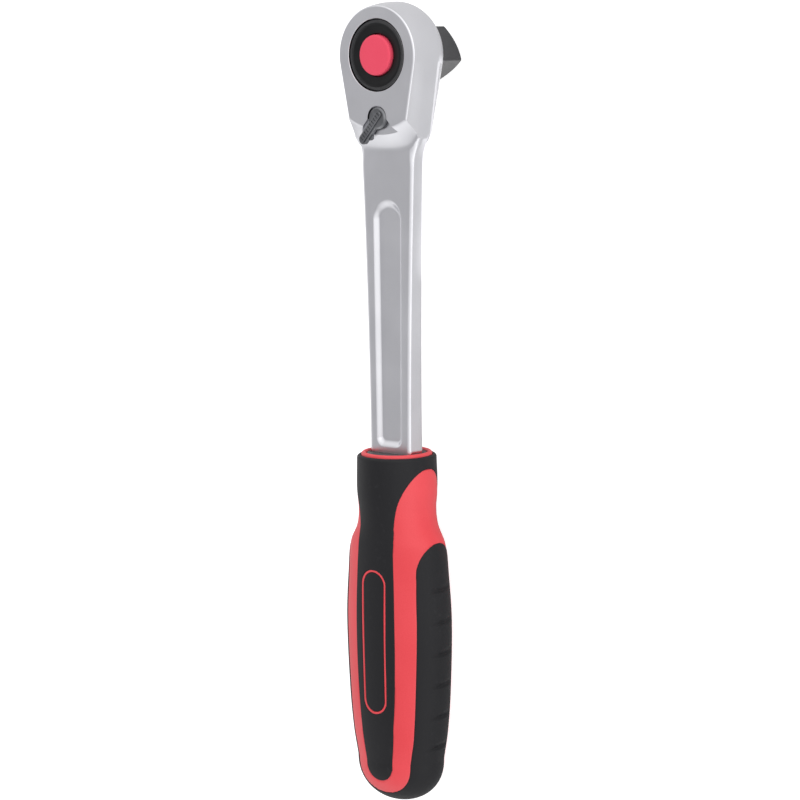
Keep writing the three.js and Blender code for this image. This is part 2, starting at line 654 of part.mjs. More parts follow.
function releaseButton() {
  const inner = BUTTON_RADIUS - BUTTON_SKIRT;
  const seat = PIN_RADIUS + FIT_GAP;
  const seatTop = CAP_BOTTOM_Z + PIN_SEAT + FIT_GAP;
  return solid(
    turned([
      [0, BUTTON_TOP_Z],
      [BUTTON_RADIUS - BUTTON_EDGE, BUTTON_TOP_Z],
      [BUTTON_RADIUS, BUTTON_TOP_Z - BUTTON_EDGE],
      [BUTTON_RADIUS, FLANGE_TOP_Z],
      [FLANGE_RADIUS, FLANGE_TOP_Z],
      [FLANGE_RADIUS, FLANGE_BOTTOM_Z],
      [inner, FLANGE_BOTTOM_Z],
      [inner, CAP_BOTTOM_Z],
      [seat, CAP_BOTTOM_Z],
      [seat, seatTop],
      [0, seatTop],
    ]),
  );
}

// A dished ring pressed into the hub, which keeps the button in
function hubBezel() {
  const inner = BUTTON_RADIUS + RUN_GAP;
  return solid(
    turned([
      [inner, BEZEL_BOTTOM_Z],
      [BEZEL_RADIUS, BEZEL_BOTTOM_Z],
      [BEZEL_RADIUS, HUB_TOP_Z],
      [BEZEL_RADIUS - BEZEL_RIM, HUB_TOP_Z],
      [inner, HUB_TOP_Z - BEZEL_DISH],
      [inner, BEZEL_BOTTOM_Z],
    ]),
  );
}

// The pin backs the ball with its full radius, and lets it in at the neck above
function releasePin() {
  const rampStart = BALL_Z + PIN_RAMP_ABOVE_BALL;
  const neckStart = rampStart + PIN_RAMP;
  const neckEnd = neckStart + PIN_NECK_LENGTH;
  const shoulderRise = PIN_RADIUS - PIN_NECK_RADIUS;
  const pinTop = CAP_BOTTOM_Z + PIN_SEAT;
  return solid(
    turned(
      [
        [0, PIN_END_Z],
        [PIN_RADIUS, PIN_END_Z],
        [PIN_RADIUS, rampStart],
        [PIN_NECK_RADIUS, neckStart],
        [PIN_NECK_RADIUS, neckEnd],
        [PIN_RADIUS, neckEnd + shoulderRise],
        [PIN_RADIUS, pinTop],
        [0, pinTop],
      ],
      SMALL_STEPS,
    ),
  );
}

function detentBall() {
  const ball = new THREE.SphereGeometry(BALL_RADIUS, SMALL_STEPS, SMALL_STEPS / 2);
  return solid(ball.translate(BALL_CENTRE, 0, BALL_Z));
}

// The lever is drawn about its own pivot with its tab along +X
function reverseLever() {
  const top = FACE_Z + LEVER_PROUD;
  const shaft = turned(
    [
      [0, SHAFT_END_Z],
      [LEVER_SHAFT_RADIUS, SHAFT_END_Z],
      [LEVER_SHAFT_RADIUS, PAWL_TOP_Z - SHAFT_RING_THICKNESS - FIT_GAP],
      [SHAFT_RING_INNER - FIT_GAP, PAWL_TOP_Z - SHAFT_RING_THICKNESS - FIT_GAP],
      [SHAFT_RING_INNER - FIT_GAP, PAWL_TOP_Z + FIT_GAP],
      [LEVER_SHAFT_RADIUS, PAWL_TOP_Z + FIT_GAP],
      [LEVER_SHAFT_RADIUS, LEVER_DISC_BOTTOM_Z],
      [LEVER_DISC_RADIUS, LEVER_DISC_BOTTOM_Z],
      [LEVER_DISC_RADIUS, top],
      [0, top],
    ],
    SMALL_STEPS,
  );
  const tabStart = -LEVER_TAB_WIDTH / 2;
  const tabOutline = capsule(tabStart, LEVER_REACH - tabStart, LEVER_TAB_WIDTH, LEVER_TAB_WIDTH);
  const tab = plate(tabOutline, LEVER_DISC_BOTTOM_Z, top);
  const ribEdge = (LEVER_TAB_WIDTH - LEVER_RIB_WIDTH) / 2;
  const ribLength = LEVER_RIB_TAIL + LEVER_REACH - ribEdge;
  const ribOutline = capsule(-LEVER_RIB_TAIL, ribLength, LEVER_RIB_WIDTH, LEVER_RIB_WIDTH);
  const rib = plate(ribOutline, top - LEVER_RIB_HEIGHT, top + LEVER_RIB_HEIGHT);
  const foot = block(
    LEVER_FOOT_START,
    LEVER_FOOT_START + LEVER_FOOT_LENGTH,
    -LEVER_RIB_WIDTH / 2,
    LEVER_RIB_WIDTH / 2,
    LEVER_DISC_BOTTOM_Z - LEVER_FOOT_HEIGHT,
    top,
  );
  return [tab, rib, foot]
    .reduce((lever, shape) => lever.add(solid(shape)), solid(shaft))
    .subtract(solid(plungerBore()));
}

function turnToPlunger(geometry) {
  return geometry.rotateY(-Math.PI / 2).translate(0, 0, PAWL_MIDDLE_Z);
}

function plungerBore() {
  const bore = rod(PLUNGER_RADIUS + RUN_GAP, SPRING_BACK - FIT_GAP, 2 * LEVER_SHAFT_RADIUS, SMALL_STEPS / 2);
  return turnToPlunger(bore);
}

function pawlPlunger() {
  const nose = PLUNGER_RADIUS / 2;
  const profile = [
    [0, PLUNGER_TAIL],
    [PLUNGER_RADIUS, PLUNGER_TAIL],
    [PLUNGER_RADIUS, PLUNGER_TIP - nose],
    [PLUNGER_RADIUS - nose, PLUNGER_TIP],
    [0, PLUNGER_TIP],
  ];
  return solid(turnToPlunger(turned(profile, SMALL_STEPS / 2)));
}

function pawlSpring() {
  const coil = spring(PAWL_SPRING_RADIUS, PAWL_WIRE_RADIUS, SPRING_BACK, PLUNGER_TAIL - FIT_GAP, PAWL_SPRING_TURNS);
  return solid(turnToPlunger(coil));
}

function shaftSnapRing() {
  return snapRing(SHAFT_RING_INNER, SHAFT_RING_OUTER, PAWL_TOP_Z - SHAFT_RING_THICKNESS, PAWL_TOP_Z, 0);
}

// The pawl is drawn about its own pivot, half-way through its rock, and its teeth are cut where the
// gear stands at each end of that rock
function pawl() {
  const over = 1;
  const blank = plate(sector(PAWL_OUTER_RADIUS, PAWL_HALF_ANGLE), PAWL_BOTTOM_Z, PAWL_TOP_Z);
  const back = rod(PAWL_BACK_RADIUS, PAWL_BOTTOM_Z - over, PAWL_TOP_Z + over);
  const cuts = [-1, 1].map((way) =>
    plate(toothOutline(TOOTH_GAP), PAWL_BOTTOM_Z - over, PAWL_TOP_Z + over)
      .rotateZ(radians(DRIVE_REST_ANGLE))
      .translate(-PAWL_PIVOT, 0, 0)
      .rotateZ(radians((way * PAWL_ROCK) / 2)),
  );
  return [back.translate(LEVER_PIVOT - PAWL_PIVOT, 0, 0), ...cuts].reduce(
    (piece, cut) => piece.subtract(solid(cut)),
    solid(blank.translate(-PAWL_PIVOT, 0, 0)),
  );
}

// A smooth curve through [place, value] pairs
function smoothThrough(pairs, place) {
  const last = pairs.length - 1;
  const slope = (i) => {
    const before = pairs[Math.max(0, i - 1)];
    const after = pairs[Math.min(last, i + 1)];
    return (after[1] - before[1]) / (after[0] - before[0]);
  };
  const found = pairs.findIndex(([start]) => place < start);
  const i = found < 0 ? last - 1 : Math.max(0, found - 1);
  const [x0, v0] = pairs[i];
  const [x1, v1] = pairs[i + 1];
  const span = x1 - x0;
  const t = THREE.MathUtils.clamp((place - x0) / span, 0, 1);
  const rise = v1 - v0;
  const a = slope(i) * span - rise;
  const b = rise - slope(i + 1) * span;
  return v0 + t * rise + t * (1 - t) * ((1 - t) * a + t * b);
}

const HANDLE_PLACES = [
  [SHANK_REACH, COLLAR_SIZE],
  [SHANK_REACH + BAND_PLACE, BAND_SIZE],
  [SHANK_REACH + WAIST_PLACE, WAIST_SIZE],
  [SHANK_REACH + FLARE_PLACE, FLARE_SIZE],
  [SHANK_REACH + RISE_PLACE, RISE_SIZE],
  [SHANK_REACH + SHOULDER_PLACE, SHOULDER_SIZE],
  [SHANK_REACH + SWELL_PLACE, SWELL_SIZE],
  [BUTT_X - EASE_FROM_BUTT, EASE_SIZE],
  [BUTT_X - TAPER_FROM_BUTT, TAPER_SIZE],
  [BUTT_X - HEEL_FROM_BUTT, HEEL_SIZE],
];

// Half-width and half-depth at a place, drawn in towards the round butt
function handleSize(x) {
  const heel = BUTT_X - HEEL_FROM_BUTT;
  const past = THREE.MathUtils.clamp((x - heel) / HEEL_FROM_BUTT, 0, 1);
  const taper = Math.sqrt(1 - past ** BUTT_POWER);
  return [0, 1].map((k) => taper * smoothThrough(HANDLE_PLACES.map(([place, size]) => [place, size[k]]), x));
}

function handlePlaces(start) {
  const places = [start];
  for (const [place] of HANDLE_PLACES.filter(([place]) => place > start)) {
    places.push((places[places.length - 1] + place) / 2, place);
  }
  const heel = BUTT_X - HEEL_FROM_BUTT;
  for (const share of [0.4, 0.7, 0.9, 0.98]) {
    places.push(lerp(heel, BUTT_X, share));
  }
  return places;
}

function groovePlaces() {
  const places = [];
  for (let groove = 0; groove < GROOVE_COUNT; groove += 1) {
    places.push(SHANK_REACH + GROOVE_FIRST + groove * GROOVE_PITCH);
  }
  return places;
}

// The handle's outer form, or a form inside it by an inset, over the places given
function handleForm(places, inset, sizeAt = handleSize) {
  const shift = (x) => (x > BUTT_X - HEEL_FROM_BUTT ? inset : 0);
  const rings = places.map((x) => {
    const [halfWidth, halfDepth] = sizeAt(x);
    const ring = [];
    for (let k = 0; k < HANDLE_STEPS; k += 1) {
      const angle = (k / HANDLE_STEPS) * 2 * Math.PI;
      const y = Math.max(inset / 4, halfWidth - inset) * Math.cos(angle);
      const z = Math.max(inset / 4, halfDepth - inset) * Math.sin(angle);
      ring.push(new THREE.Vector3(x - shift(x), y, z));
    }
    return ring;
  });
  return solid(lofted(rings));
}

function groovedForm() {
  const grooves = groovePlaces();
  const edges = grooves.flatMap((x) => [x - GROOVE_HALF_WIDTH, x, x + GROOVE_HALF_WIDTH]);
  const clear = (x) => grooves.every((groove) => Math.abs(x - groove) > 2 * GROOVE_HALF_WIDTH);
  const places = [...handlePlaces(COLLAR_X).filter(clear), ...edges].sort((a, b) => a - b);
  return handleForm(places, 0, (x) => {
    const [halfWidth, halfDepth] = handleSize(x);
    return [grooves.includes(x) ? halfWidth - GROOVE_DEPTH : halfWidth, halfDepth];
  });
}

// An arch-topped region of the side view, drawn out across the handle
function sideRegion(points) {
  const outline = [...points, ...points.map(([x, z]) => [x, -z]).reverse()];
  const shape = outline.map(([x, z]) => new THREE.Vector2(x, z));
  return solid(plate(shape, -REACH, REACH).rotateX(Math.PI / 2));
}

function archPoints(start, length, half, power) {
  const points = [];
  const steps = 8;
  for (let k = 1; k <= steps; k += 1) {
    const angle = ((k / steps) * Math.PI) / 2;
    points.push([start + length * (1 - Math.cos(angle)), half * Math.sqrt(1 - Math.cos(angle) ** power)]);
  }
  return points;
}

// Height in side view at which a soft tongue ends and the red begins
function tongueEdge(x) {
  const [halfWidth, halfDepth] = handleSize(x);
  const tongueHalf = smoothThrough(TONGUE_STATIONS, x);
  return halfDepth * Math.sqrt(1 - (tongueHalf / halfWidth) ** 2);
}

// The red window between the two soft tongues
function redWindow(grow) {
  const start = SHANK_REACH + WINDOW_START;
  const archEnd = start + WINDOW_ARCH_LENGTH;
  const points = archPoints(start - grow, WINDOW_ARCH_LENGTH + grow, tongueEdge(archEnd) + grow, WINDOW_POWER);
  const steps = 12;
  for (let k = 1; k <= steps; k += 1) {
    const x = lerp(archEnd, TONGUE_END_X, k / steps);
    points.push([x - (k === steps ? grow : 0), tongueEdge(x) + grow]);
  }
  points.push([TONGUE_END_X - grow, REACH], [BUTT_X + REACH, REACH]);
  return sideRegion(points);
}

// The region of the side grips, which meet round the butt
function saddleRegion(grow) {
  const start = SHANK_REACH + SADDLE_START;
  const points = archPoints(start - grow, SADDLE_ARCH_LENGTH + grow, SADDLE_HEAD_HALF + grow, SADDLE_POWER);
  points.push([SHANK_REACH + SWELL_PLACE, SADDLE_SWELL_HALF + grow]);
  points.push([BUTT_X - EASE_FROM_BUTT, SADDLE_SWELL_HALF + grow]);
  points.push([BUTT_X, SADDLE_TAIL_HALF + grow], [BUTT_X + REACH, SADDLE_TAIL_HALF + grow]);
  return sideRegion(points);
}

function plateOutline(grow) {
  return capsule(
    SHANK_REACH + PLATE_START - grow,
    PLATE_LENGTH + 2 * grow,
    PLATE_HEAD_WIDTH + 2 * grow,
    PLATE_TAIL_WIDTH + 2 * grow,
  );
}

const upperPlate = (grow) => solid(plate(plateOutline(grow), 0, REACH));
const lowerPlate = (grow) => solid(plate(plateOutline(grow), -REACH, 0));

function handlePieces() {
  const outer = handleForm(handlePlaces(COLLAR_X), 0);
  const underSkin = handleForm(handlePlaces(COLLAR_X - 1), GRIP_SKIN);
  const core = handleForm(handlePlaces(SHANK_REACH), GRIP_SKIN + FIT_GAP);
  const window = redWindow(0);
  const saddle = saddleRegion(0);
  const skin = outer.subtract(underSkin);
  const frame = upperPlate(0).subtract(upperPlate(-PLATE_FRAME));
  const lowerFrame = lowerPlate(0).subtract(lowerPlate(-PLATE_FRAME));
  const bore = rod(SLEEVE_RADIUS + FIT_GAP, 0, SLEEVE_END_X + FIT_GAP - SHANK_REACH + 1);
  bore.rotateY(Math.PI / 2).translate(SHANK_REACH - 1, 0, 0);
  const shell = outer
    .intersect(window.subtract(saddleRegion(FIT_GAP)).add(frame).add(lowerFrame))
    .add(core)
    .subtract(solid(bore));
  const sleeve = skin
    .subtract(redWindow(FIT_GAP))
    .subtract(upperPlate(FIT_GAP))
    .subtract(lowerPlate(FIT_GAP));
  const side = groovedForm().subtract(underSkin).intersect(saddle);
  const inPlate = -PLATE_FRAME - FIT_GAP;
  const plates = skin.subtract(redWindow(FIT_GAP));
  return {
    shell,
    sleeve,
    side,
    frontPlate: plates.intersect(upperPlate(inPlate)),
    backPlate: plates.intersect(lowerPlate(inPlate)),
  };
}

function tangSleeve() {
  const start = SHANK_REACH + SLEEVE_BELOW_LIP;
  const outer = rod(SLEEVE_RADIUS, start, SLEEVE_END_X).rotateY(Math.PI / 2);
  const seat = block(
    start - 1,
    SHANK_SEAT_X + FIT_GAP,
    -SHANK_END_WIDTH / 2 - FIT_GAP,
    SHANK_END_WIDTH / 2 + FIT_GAP,
    -SHANK_END_THICKNESS / 2 - FIT_GAP,
    SHANK_END_THICKNESS / 2 + FIT_GAP,
  );
  const slot = block(
    SHANK_SEAT_X,
    TANG_END_X + FIT_GAP,
    -TANG_WIDTH / 2 - FIT_GAP,
    TANG_WIDTH / 2 + FIT_GAP,
    -TANG_THICKNESS / 2 - FIT_GAP,
    TANG_THICKNESS / 2 + FIT_GAP,
  );
  return solid(outer).subtract(solid(seat)).subtract(solid(slot));
}

// Assembly
const driveGroup = new THREE.Group();
driveGroup.rotation.z = radians(DRIVE_REST_ANGLE);
const ball = named('detent_ball', detentBall(), BRIGHT_STEEL);
ball.rotation.z = radians(BALL_FLAT_ANGLE);
const releaseCoil = spring(
  RELEASE_SPRING_RADIUS,
  RELEASE_WIRE_RADIUS,
  WELL_FLOOR_Z + FIT_GAP,
  CAP_BOTTOM_Z - FIT_GAP,
  RELEASE_SPRING_TURNS,
);
driveGroup.add(
  named('drive_gear', driveGear(), DARK_STEEL),
  named('release_button', releaseButton(), RED_PLASTIC),
  named('hub_bezel', hubBezel(), HARD_BLACK),
  named('release_pin', releasePin(), BRIGHT_STEEL),
  named('release_spring', solid(releaseCoil), SPRING_STEEL),
  ball,
);

const leverGroup = new THREE.Group();
leverGroup.position.x = LEVER_PIVOT;
leverGroup.rotation.z = radians(-LEVER_THROW / 2);
leverGroup.add(
  named('reverse_lever', reverseLever(), GUNMETAL),
  named('lever_snap_ring', shaftSnapRing(), SPRING_STEEL),
  named('pawl_plunger', pawlPlunger(), BRIGHT_STEEL),
  named('pawl_spring', pawlSpring(), SPRING_STEEL),
);

const pawlGroup = new THREE.Group();
pawlGroup.position.x = PAWL_PIVOT;
pawlGroup.rotation.z = radians(PAWL_ROCK / 2);
pawlGroup.add(named('pawl', pawl(), DARK_STEEL));

const handle = handlePieces();
const handleGroup = new THREE.Group();
handleGroup.position.z = SHANK_LIFT;
handleGroup.add(
  named('tang_sleeve', tangSleeve(), HARD_BLACK),
  named('handle_shell', handle.shell, RED_PLASTIC),
  named('grip_sleeve', handle.sleeve, SOFT_BLACK),
  named('grip_saddle', handle.side, SOFT_BLACK),
  named('name_plate_front', handle.frontPlate, SOFT_BLACK),
  named('name_plate_back', handle.backPlate, SOFT_BLACK),
);

const ratchet = new THREE.Group();
ratchet.name = 'socket_ratchet';
ratchet.position.z = -DRIVE_END_Z;
ratchet.add(
  named('ratchet_body', ratchetBody(), SATIN_CHROME),
  named('back_cover', backCover(), DARK_STEEL),
  named('cover_snap_ring', coverSnapRing(), SPRING_STEEL),
  named('drive_seal', driveSeal(), HARD_BLACK),
  driveGroup,
  leverGroup,
  pawlGroup,
  handleGroup,
);

export default ratchet;
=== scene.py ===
"""A reversible socket ratchet: satin chrome head and shank, black drive, red and soft black handle.

Pieces are drawn in millimetres about the drive axis, with the middle of the head at height 0, X along the
tool to the butt and Z up through the face. fit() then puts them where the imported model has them, in metres.
"""

import math

import bmesh
import bpy
from mathutils import Matrix, Vector


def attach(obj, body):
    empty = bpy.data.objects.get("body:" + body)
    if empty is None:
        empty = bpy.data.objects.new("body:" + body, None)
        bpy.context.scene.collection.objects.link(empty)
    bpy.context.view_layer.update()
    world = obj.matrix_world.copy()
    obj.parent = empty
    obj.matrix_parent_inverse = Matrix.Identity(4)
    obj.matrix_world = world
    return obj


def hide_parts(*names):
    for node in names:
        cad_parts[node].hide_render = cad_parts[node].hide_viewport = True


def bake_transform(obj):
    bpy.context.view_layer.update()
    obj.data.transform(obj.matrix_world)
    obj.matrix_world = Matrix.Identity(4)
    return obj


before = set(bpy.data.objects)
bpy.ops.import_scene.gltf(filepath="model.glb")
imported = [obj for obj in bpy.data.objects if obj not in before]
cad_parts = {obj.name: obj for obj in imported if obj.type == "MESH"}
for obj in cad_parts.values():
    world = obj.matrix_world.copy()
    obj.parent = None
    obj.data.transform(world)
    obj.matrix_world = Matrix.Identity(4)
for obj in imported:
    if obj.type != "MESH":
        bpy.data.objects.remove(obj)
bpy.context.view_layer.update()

# Frame
DRIVE_END = -24.7
TO_ROW = Matrix.Scale(0.001, 4) @ Matrix.Translation((0, 0, -DRIVE_END))
FULL_TURN = 2 * math.pi
GAP = 0.3
OVER = 2.0

# Head
FACE = 8.0
FACE_RADIUS = 14.85
BELLY_RADIUS = 16.15
BACK_RADIUS = 13.3
BELLY_LEVEL = -1.75
FACE_EDGE = 0.45
SHOULDER_RADIUS = 22.3
SHOULDER_HALF = 11.4
BACK_SHOULDER_RADIUS = 24.0
BACK_SHOULDER_HALF = 8.9
SLOPE_END = 29.4
SLOPE_FOOT_POWER = 5
NECK = 24.9
NECK_HALF = 12.5
OPENING_EDGE = 0.25
POLISHED_STEEPNESS = 0.4

# Shank
SHANK_LIFT = 0.9
SHANK_START = 22.4
SHANK_END = 124.0
SHANK_ROOT = 28.0
SHANK_REACH = 122.2
SHANK_ROOT_HALF = 10.55
SHANK_END_HALF = 8.13
SHANK_WAIST_POWER = 1.6
SHANK_ROOT_THICK = 2.9
SHANK_END_THICK = 3.5
SHANK_EDGE = 1.3
NECK_EDGE = 2.85
NECK_BLEND = 1.3
NECK_EDGE_END = 34.0
FLARE = 2.2
FLARE_LENGTH = 7.5
FRONT_FLAT = SHANK_LIFT + SHANK_ROOT_THICK
BACK_FLAT = SHANK_LIFT - SHANK_ROOT_THICK
RECESS_START = 44.5
RECESS_LENGTH = 75.3
RECESS_HEAD_HALF = 4.9
RECESS_TAIL_HALF = 4.35
RECESS_DEPTH = 1.3
RECESS_WALL = 0.9
RECESS_HEAD_RAMP = 1.9
RECESS_TAIL_RAMP = 1.3
RECESS_CORNER = 1.9
RECESS_LEAST_CORNER = 0.3
RECESS_HEAD_SHIFT = 0.75

# Gear chamber and drive
CHAMBER_RADIUS = 12.5
CHAMBER_TOP = 5.6
OPENING_RADIUS = 11.0
GEAR_TOP = 5.3
GEAR_BOTTOM = -2.9
GEAR_TIP = 12.2
GEAR_ROOT = 11.7
GEAR_TEETH = 72
COVER_TOP = -3.2
COVER_BOTTOM = -5.2
RING_TOP = -5.5
RING_BOTTOM = -6.5
RING_GROOVE = 0.8
RING_SPREAD = 0.5
RING_WIDTH = 2.4
RING_EDGE = 0.15
RING_MOUTH = math.radians(40)
SEAL_SEAT_RADIUS = 10.9
SEAL_SEAT_DEPTH = 1.1
COVER_EDGE = 0.2
HUB_RADIUS = 10.7
HUB_TOP = 7.8
HUB_CHAMFER = 0.25
JOURNAL_RADIUS = 9.2
JOURNAL_CHAMFER = 0.3
DRIVE_HALF = 6.35
DRIVE_CORNER = 8.8
DRIVE_END_FLAT = 4.5
DRIVE_CROWN = 2.0
DRIVE_CROWN_POWER = 1.3
DRIVE_SIDE_EDGE = 0.45
DRIVE_END_EDGE = 0.2
DRIVE_TURN = math.radians(33)
BEZEL_RADIUS = 9.4
BEZEL_BOTTOM = 5.9
BEZEL_STEP = 0.4
# The bezel's lip and dish, as distance out from BEZEL_RADIUS and drop below the hub, then its inner edge
BEZEL_DISH = [(0.26, 0.3), (0.26, 0.06), (0.2, 0.0), (-0.5, 0.06), (-1.1, 0.16), (-1.9, 0.27)]
BEZEL_INNER_EDGE = [(0.4, 0.3), (0.12, 0.34), (0.0, 0.46)]
BUTTON_RADIUS = 6.15
BUTTON_TOP = 9.0
BUTTON_EDGE = 0.75
# The button's slight crown, as radius and drop below its top
BUTTON_CROWN = [(0, 0.0), (2.4, 0.02), (4.2, 0.06)]
BUTTON_CROWN_DROP = 0.12
SKIRT_RADIUS = 6.7
SKIRT_TOP = 5.6
SKIRT_BOTTOM = 4.4
SPRING_CUP_RADIUS = 4.9
SPRING_CUP_TOP = 6.6
PIN_SOCKET_RADIUS = 2.6
PIN_SOCKET_TOP = 8.1
WELL_RADIUS = 7.0
WELL_FLOOR = 1.5
PIN_BORE = 2.6
PIN_BORE_END = -21.45
BALL_RADIUS = 2.2
BALL_LEVEL = -16.9
BALL_CENTRE = 4.95
BALL_TURN = math.radians(33 + 270)

# Lever and pawl pocket
LEVER_PIVOT = 19.0
LEVER_TURN = math.radians(-41.5)
LEVER_SWING = math.radians(41.5)
LEVER_TOP = 8.2
LEVER_BOTTOM = 6.9
LEVER_DISC = 3.4
LEVER_DISC_EDGE = 0.55
LEVER_DISC_DROP = 0.45
LEVER_REACH = 10.2
LEVER_HALF = 1.6
TAB_EDGE = 0.34
RIB_TOP = 8.7
RIB_DEPTH = 0.5
RIB_START = -2.4
RIB_LENGTH = LEVER_REACH + 1.9
RIB_HALF = 0.95
RIB_EDGE = 0.16
RIDGE_COUNT = 10
RIDGE_FIRST = -1.55
RIDGE_PITCH = 1.1
RIDGE_HALF = 0.2
RIDGE_REACH = 0.66
RIDGE_DEPTH = 0.22
NUB_START = 5.4
NUB_LENGTH = 2.0
NUB_HALF = 0.9
NUB_DROP = 0.6
LEVER_SHAFT = 3.1
SHAFT_END = -5.0
SHAFT_CHAMFER = 0.3
SNAP_SEAT_RADIUS = 2.45
SNAP_SEAT_BOTTOM = 4.3
SNAP_SEAT_TOP = 5.6
PLUNGER_BORE = 1.25
PLUNGER_BORE_START = -2.5
PLUNGER_LEVEL = 1.35
SEAT_FLOOR = 6.6
SEAT_SIDE_ROOM = 1.0
DISC_SEAT_ROOM = 0.35
DISC_SEAT_DROP = 0.5
SHAFT_ROOM = 4.15
PAWL_SWING_ROOM = 4.65
POCKET_RADIUS = 16.35
POCKET_HALF_ANGLE = math.radians(41)

# Handle
BUTT = 234.0
HEEL = 220.0
BUTT_POWER = 2.3
COLLAR = 123.1
COLLAR_RIM = 1.2
COLLAR_ROLL = 1.0
# The red lip in the mouth of the handle, as place along the tool and radius
MOUTH_PROFILE = [
    (140.0, 9.6), (123.0, 9.6), (122.55, 9.7), (122.3, 9.92), (122.2, 10.25), (122.25, 10.6), (122.5, 10.92),
    (122.9, 11.1), (124.2, 11.1),
]
# Place along the tool, half-width and half-depth of the handle
HANDLE_STATIONS = [
    (122.2, 12.4, 12.4),
    (135.0, 12.7, 12.5),
    (140.5, 12.35, 12.1),
    (145.5, 13.45, 11.8),
    (151.0, 16.55, 12.05),
    (160.0, 17.65, 12.45),
    (175.5, 18.7, 12.75),
    (198.0, 17.9, 12.55),
    (211.0, 16.65, 12.1),
    (220.0, 15.05, 11.3),
]
# Place along the tool and half-width of a soft tongue
TONGUE_STATIONS = [
    (146.0, 7.0), (151.0, 7.15), (157.0, 7.4), (167.0, 7.75), (180.0, 7.9), (190.0, 7.75), (199.0, 7.3),
    (208.6, 6.6), (215.3, 5.9), (219.6, 5.4),
]
TONGUE_ROUND = 219.6
TONGUE_END = 226.0
TONGUE_POWER = 2.4
WINDOW_START = 127.0
WINDOW_ARCH = 19.0
WINDOW_POWER = 2.3
SADDLE_START = 149.7
SADDLE_ARCH = 11.0
SADDLE_HEAD = 8.0
SADDLE_POWER = 2.4
# Place along the tool and half-height of a side grip
SADDLE_STATIONS = [(160.7, 8.0), (172.0, 8.45), (198.0, 8.5), (221.0, 8.2), (234.0, 8.1)]
GROOVE_FIRST = 164.5
GROOVE_PITCH = 10.1
GROOVE_COUNT = 6
GROOVE_RAMP = 2.2
GROOVE_STEP = 0.55
GROOVE_DEPTH = 0.8
GROOVE_SLANT = 0.12
GROOVE_FULL_HALF = 1.0
GROOVE_END_HALF = 5.6
PLATE_START = 158.1
PLATE_LENGTH = 46.0
PLATE_HEAD_HALF = 4.9
PLATE_TAIL_HALF = 4.65
PLATE_WELL = 0.55
PLATE_GAP = 0.05
PLATE_SUNK = 0.04
PLATE_ROLL = 0.2
PLATE_THICK = 0.4
PLATE_LINE = 0.8
LINE_SUNK = 0.02
LINE_ROLL = 0.22
LINE_SKIRT = 0.3
LINE_THICK = 0.3
RED_SUNK = 0.12
RED_UNDER = 0.85
RED_BUTT_SUNK = 0.8
SOFT_THICK = 0.6
SOFT_ROLL = 0.4


# Small sums


def mix(a, b, share):
    return a + (b - a) * share


def smooth(low, high, value):
    t = min(1.0, max(0.0, (value - low) / (high - low)))
    return t * t * (3 - 2 * t)


def smooth_through(stations, place):
    """A smooth curve through (place, value) pairs."""
    last = len(stations) - 1

    def slope(i):
        before = stations[max(0, i - 1)]
        after = stations[min(last, i + 1)]
        return (after[1] - before[1]) / (after[0] - before[0])

    i = max(0, min(last - 1, sum(place >= s[0] for s in stations) - 1))
    span = stations[i + 1][0] - stations[i][0]
    rise = stations[i + 1][1] - stations[i][1]
    t = min(1.0, max(0.0, (place - stations[i][0]) / span))
    a = slope(i) * span - rise
    b = rise - slope(i + 1) * span
    return stations[i][1] + t * rise + t * (1 - t) * ((1 - t) * a + t * b)


# Mesh tools


def draped(columns, rows, place):
    """A grid with its points where place(u, v) says, u and v from 0 to 1, closed where its edges meet."""
    bm = bmesh.new()
    bmesh.ops.create_grid(bm, x_segments=columns, y_segments=rows, size=0.5)
    for vert in bm.verts:
        vert.co = place(vert.co.x + 0.5, vert.co.y + 0.5)
    bmesh.ops.remove_doubles(bm, verts=bm.verts, dist=1e-4)
    bmesh.ops.dissolve_degenerate(bm, edges=bm.edges, dist=1e-5)
    return bm


def capped(bm):
    """Fills the open ends of a form and turns its faces outwards."""
    bmesh.ops.holes_fill(bm, edges=[e for e in bm.edges if e.is_boundary], sides=0)
    bmesh.ops.recalc_face_normals(bm, faces=bm.faces)
    return bm


def outward(bm):
    """Turns an open skin on the handle so that its faces point away from the handle's middle line."""
    bmesh.ops.recalc_face_normals(bm, faces=bm.faces)
    lean = 0.0
    for face in bm.faces:
        middle = face.calc_center_median()
        lean += face.normal.y * middle.y + face.normal.z * middle.z
    if lean < 0:
        bmesh.ops.reverse_faces(bm, faces=bm.faces)
    return bm


def merged(first, second):
    """Two skins of the handle as one, joined where their edges meet."""
    mesh = bpy.data.meshes.new("second")
    second.to_mesh(mesh)
    second.free()
    first.from_mesh(mesh)
    bpy.data.meshes.remove(mesh)
    bmesh.ops.remove_doubles(first, verts=first.verts, dist=1e-3)
    return outward(first)


def turned(profile, steps=96):
    """A closed profile of (radius, height) pairs turned about Z."""
    bm = bmesh.new()
    verts = [bm.verts.new((radius, 0, height)) for radius, height in profile]
    edges = [bm.edges.new(pair) for pair in zip(verts, verts[1:] + verts[:1])]
    bmesh.ops.spin(
        bm, geom=verts + edges, axis=(0, 0, 1), cent=(0, 0, 0), dvec=(0, 0, 0), angle=FULL_TURN, steps=steps,
        use_merge=True,
    )
    bmesh.ops.remove_doubles(bm, verts=bm.verts, dist=1e-4)
    bmesh.ops.dissolve_degenerate(bm, edges=bm.edges, dist=1e-5)
    bmesh.ops.recalc_face_normals(bm, faces=bm.faces)
    return bm


def rod(radius, bottom, top, steps=64):
    return turned([(0, bottom), (radius, bottom), (radius, top), (0, top)], steps)


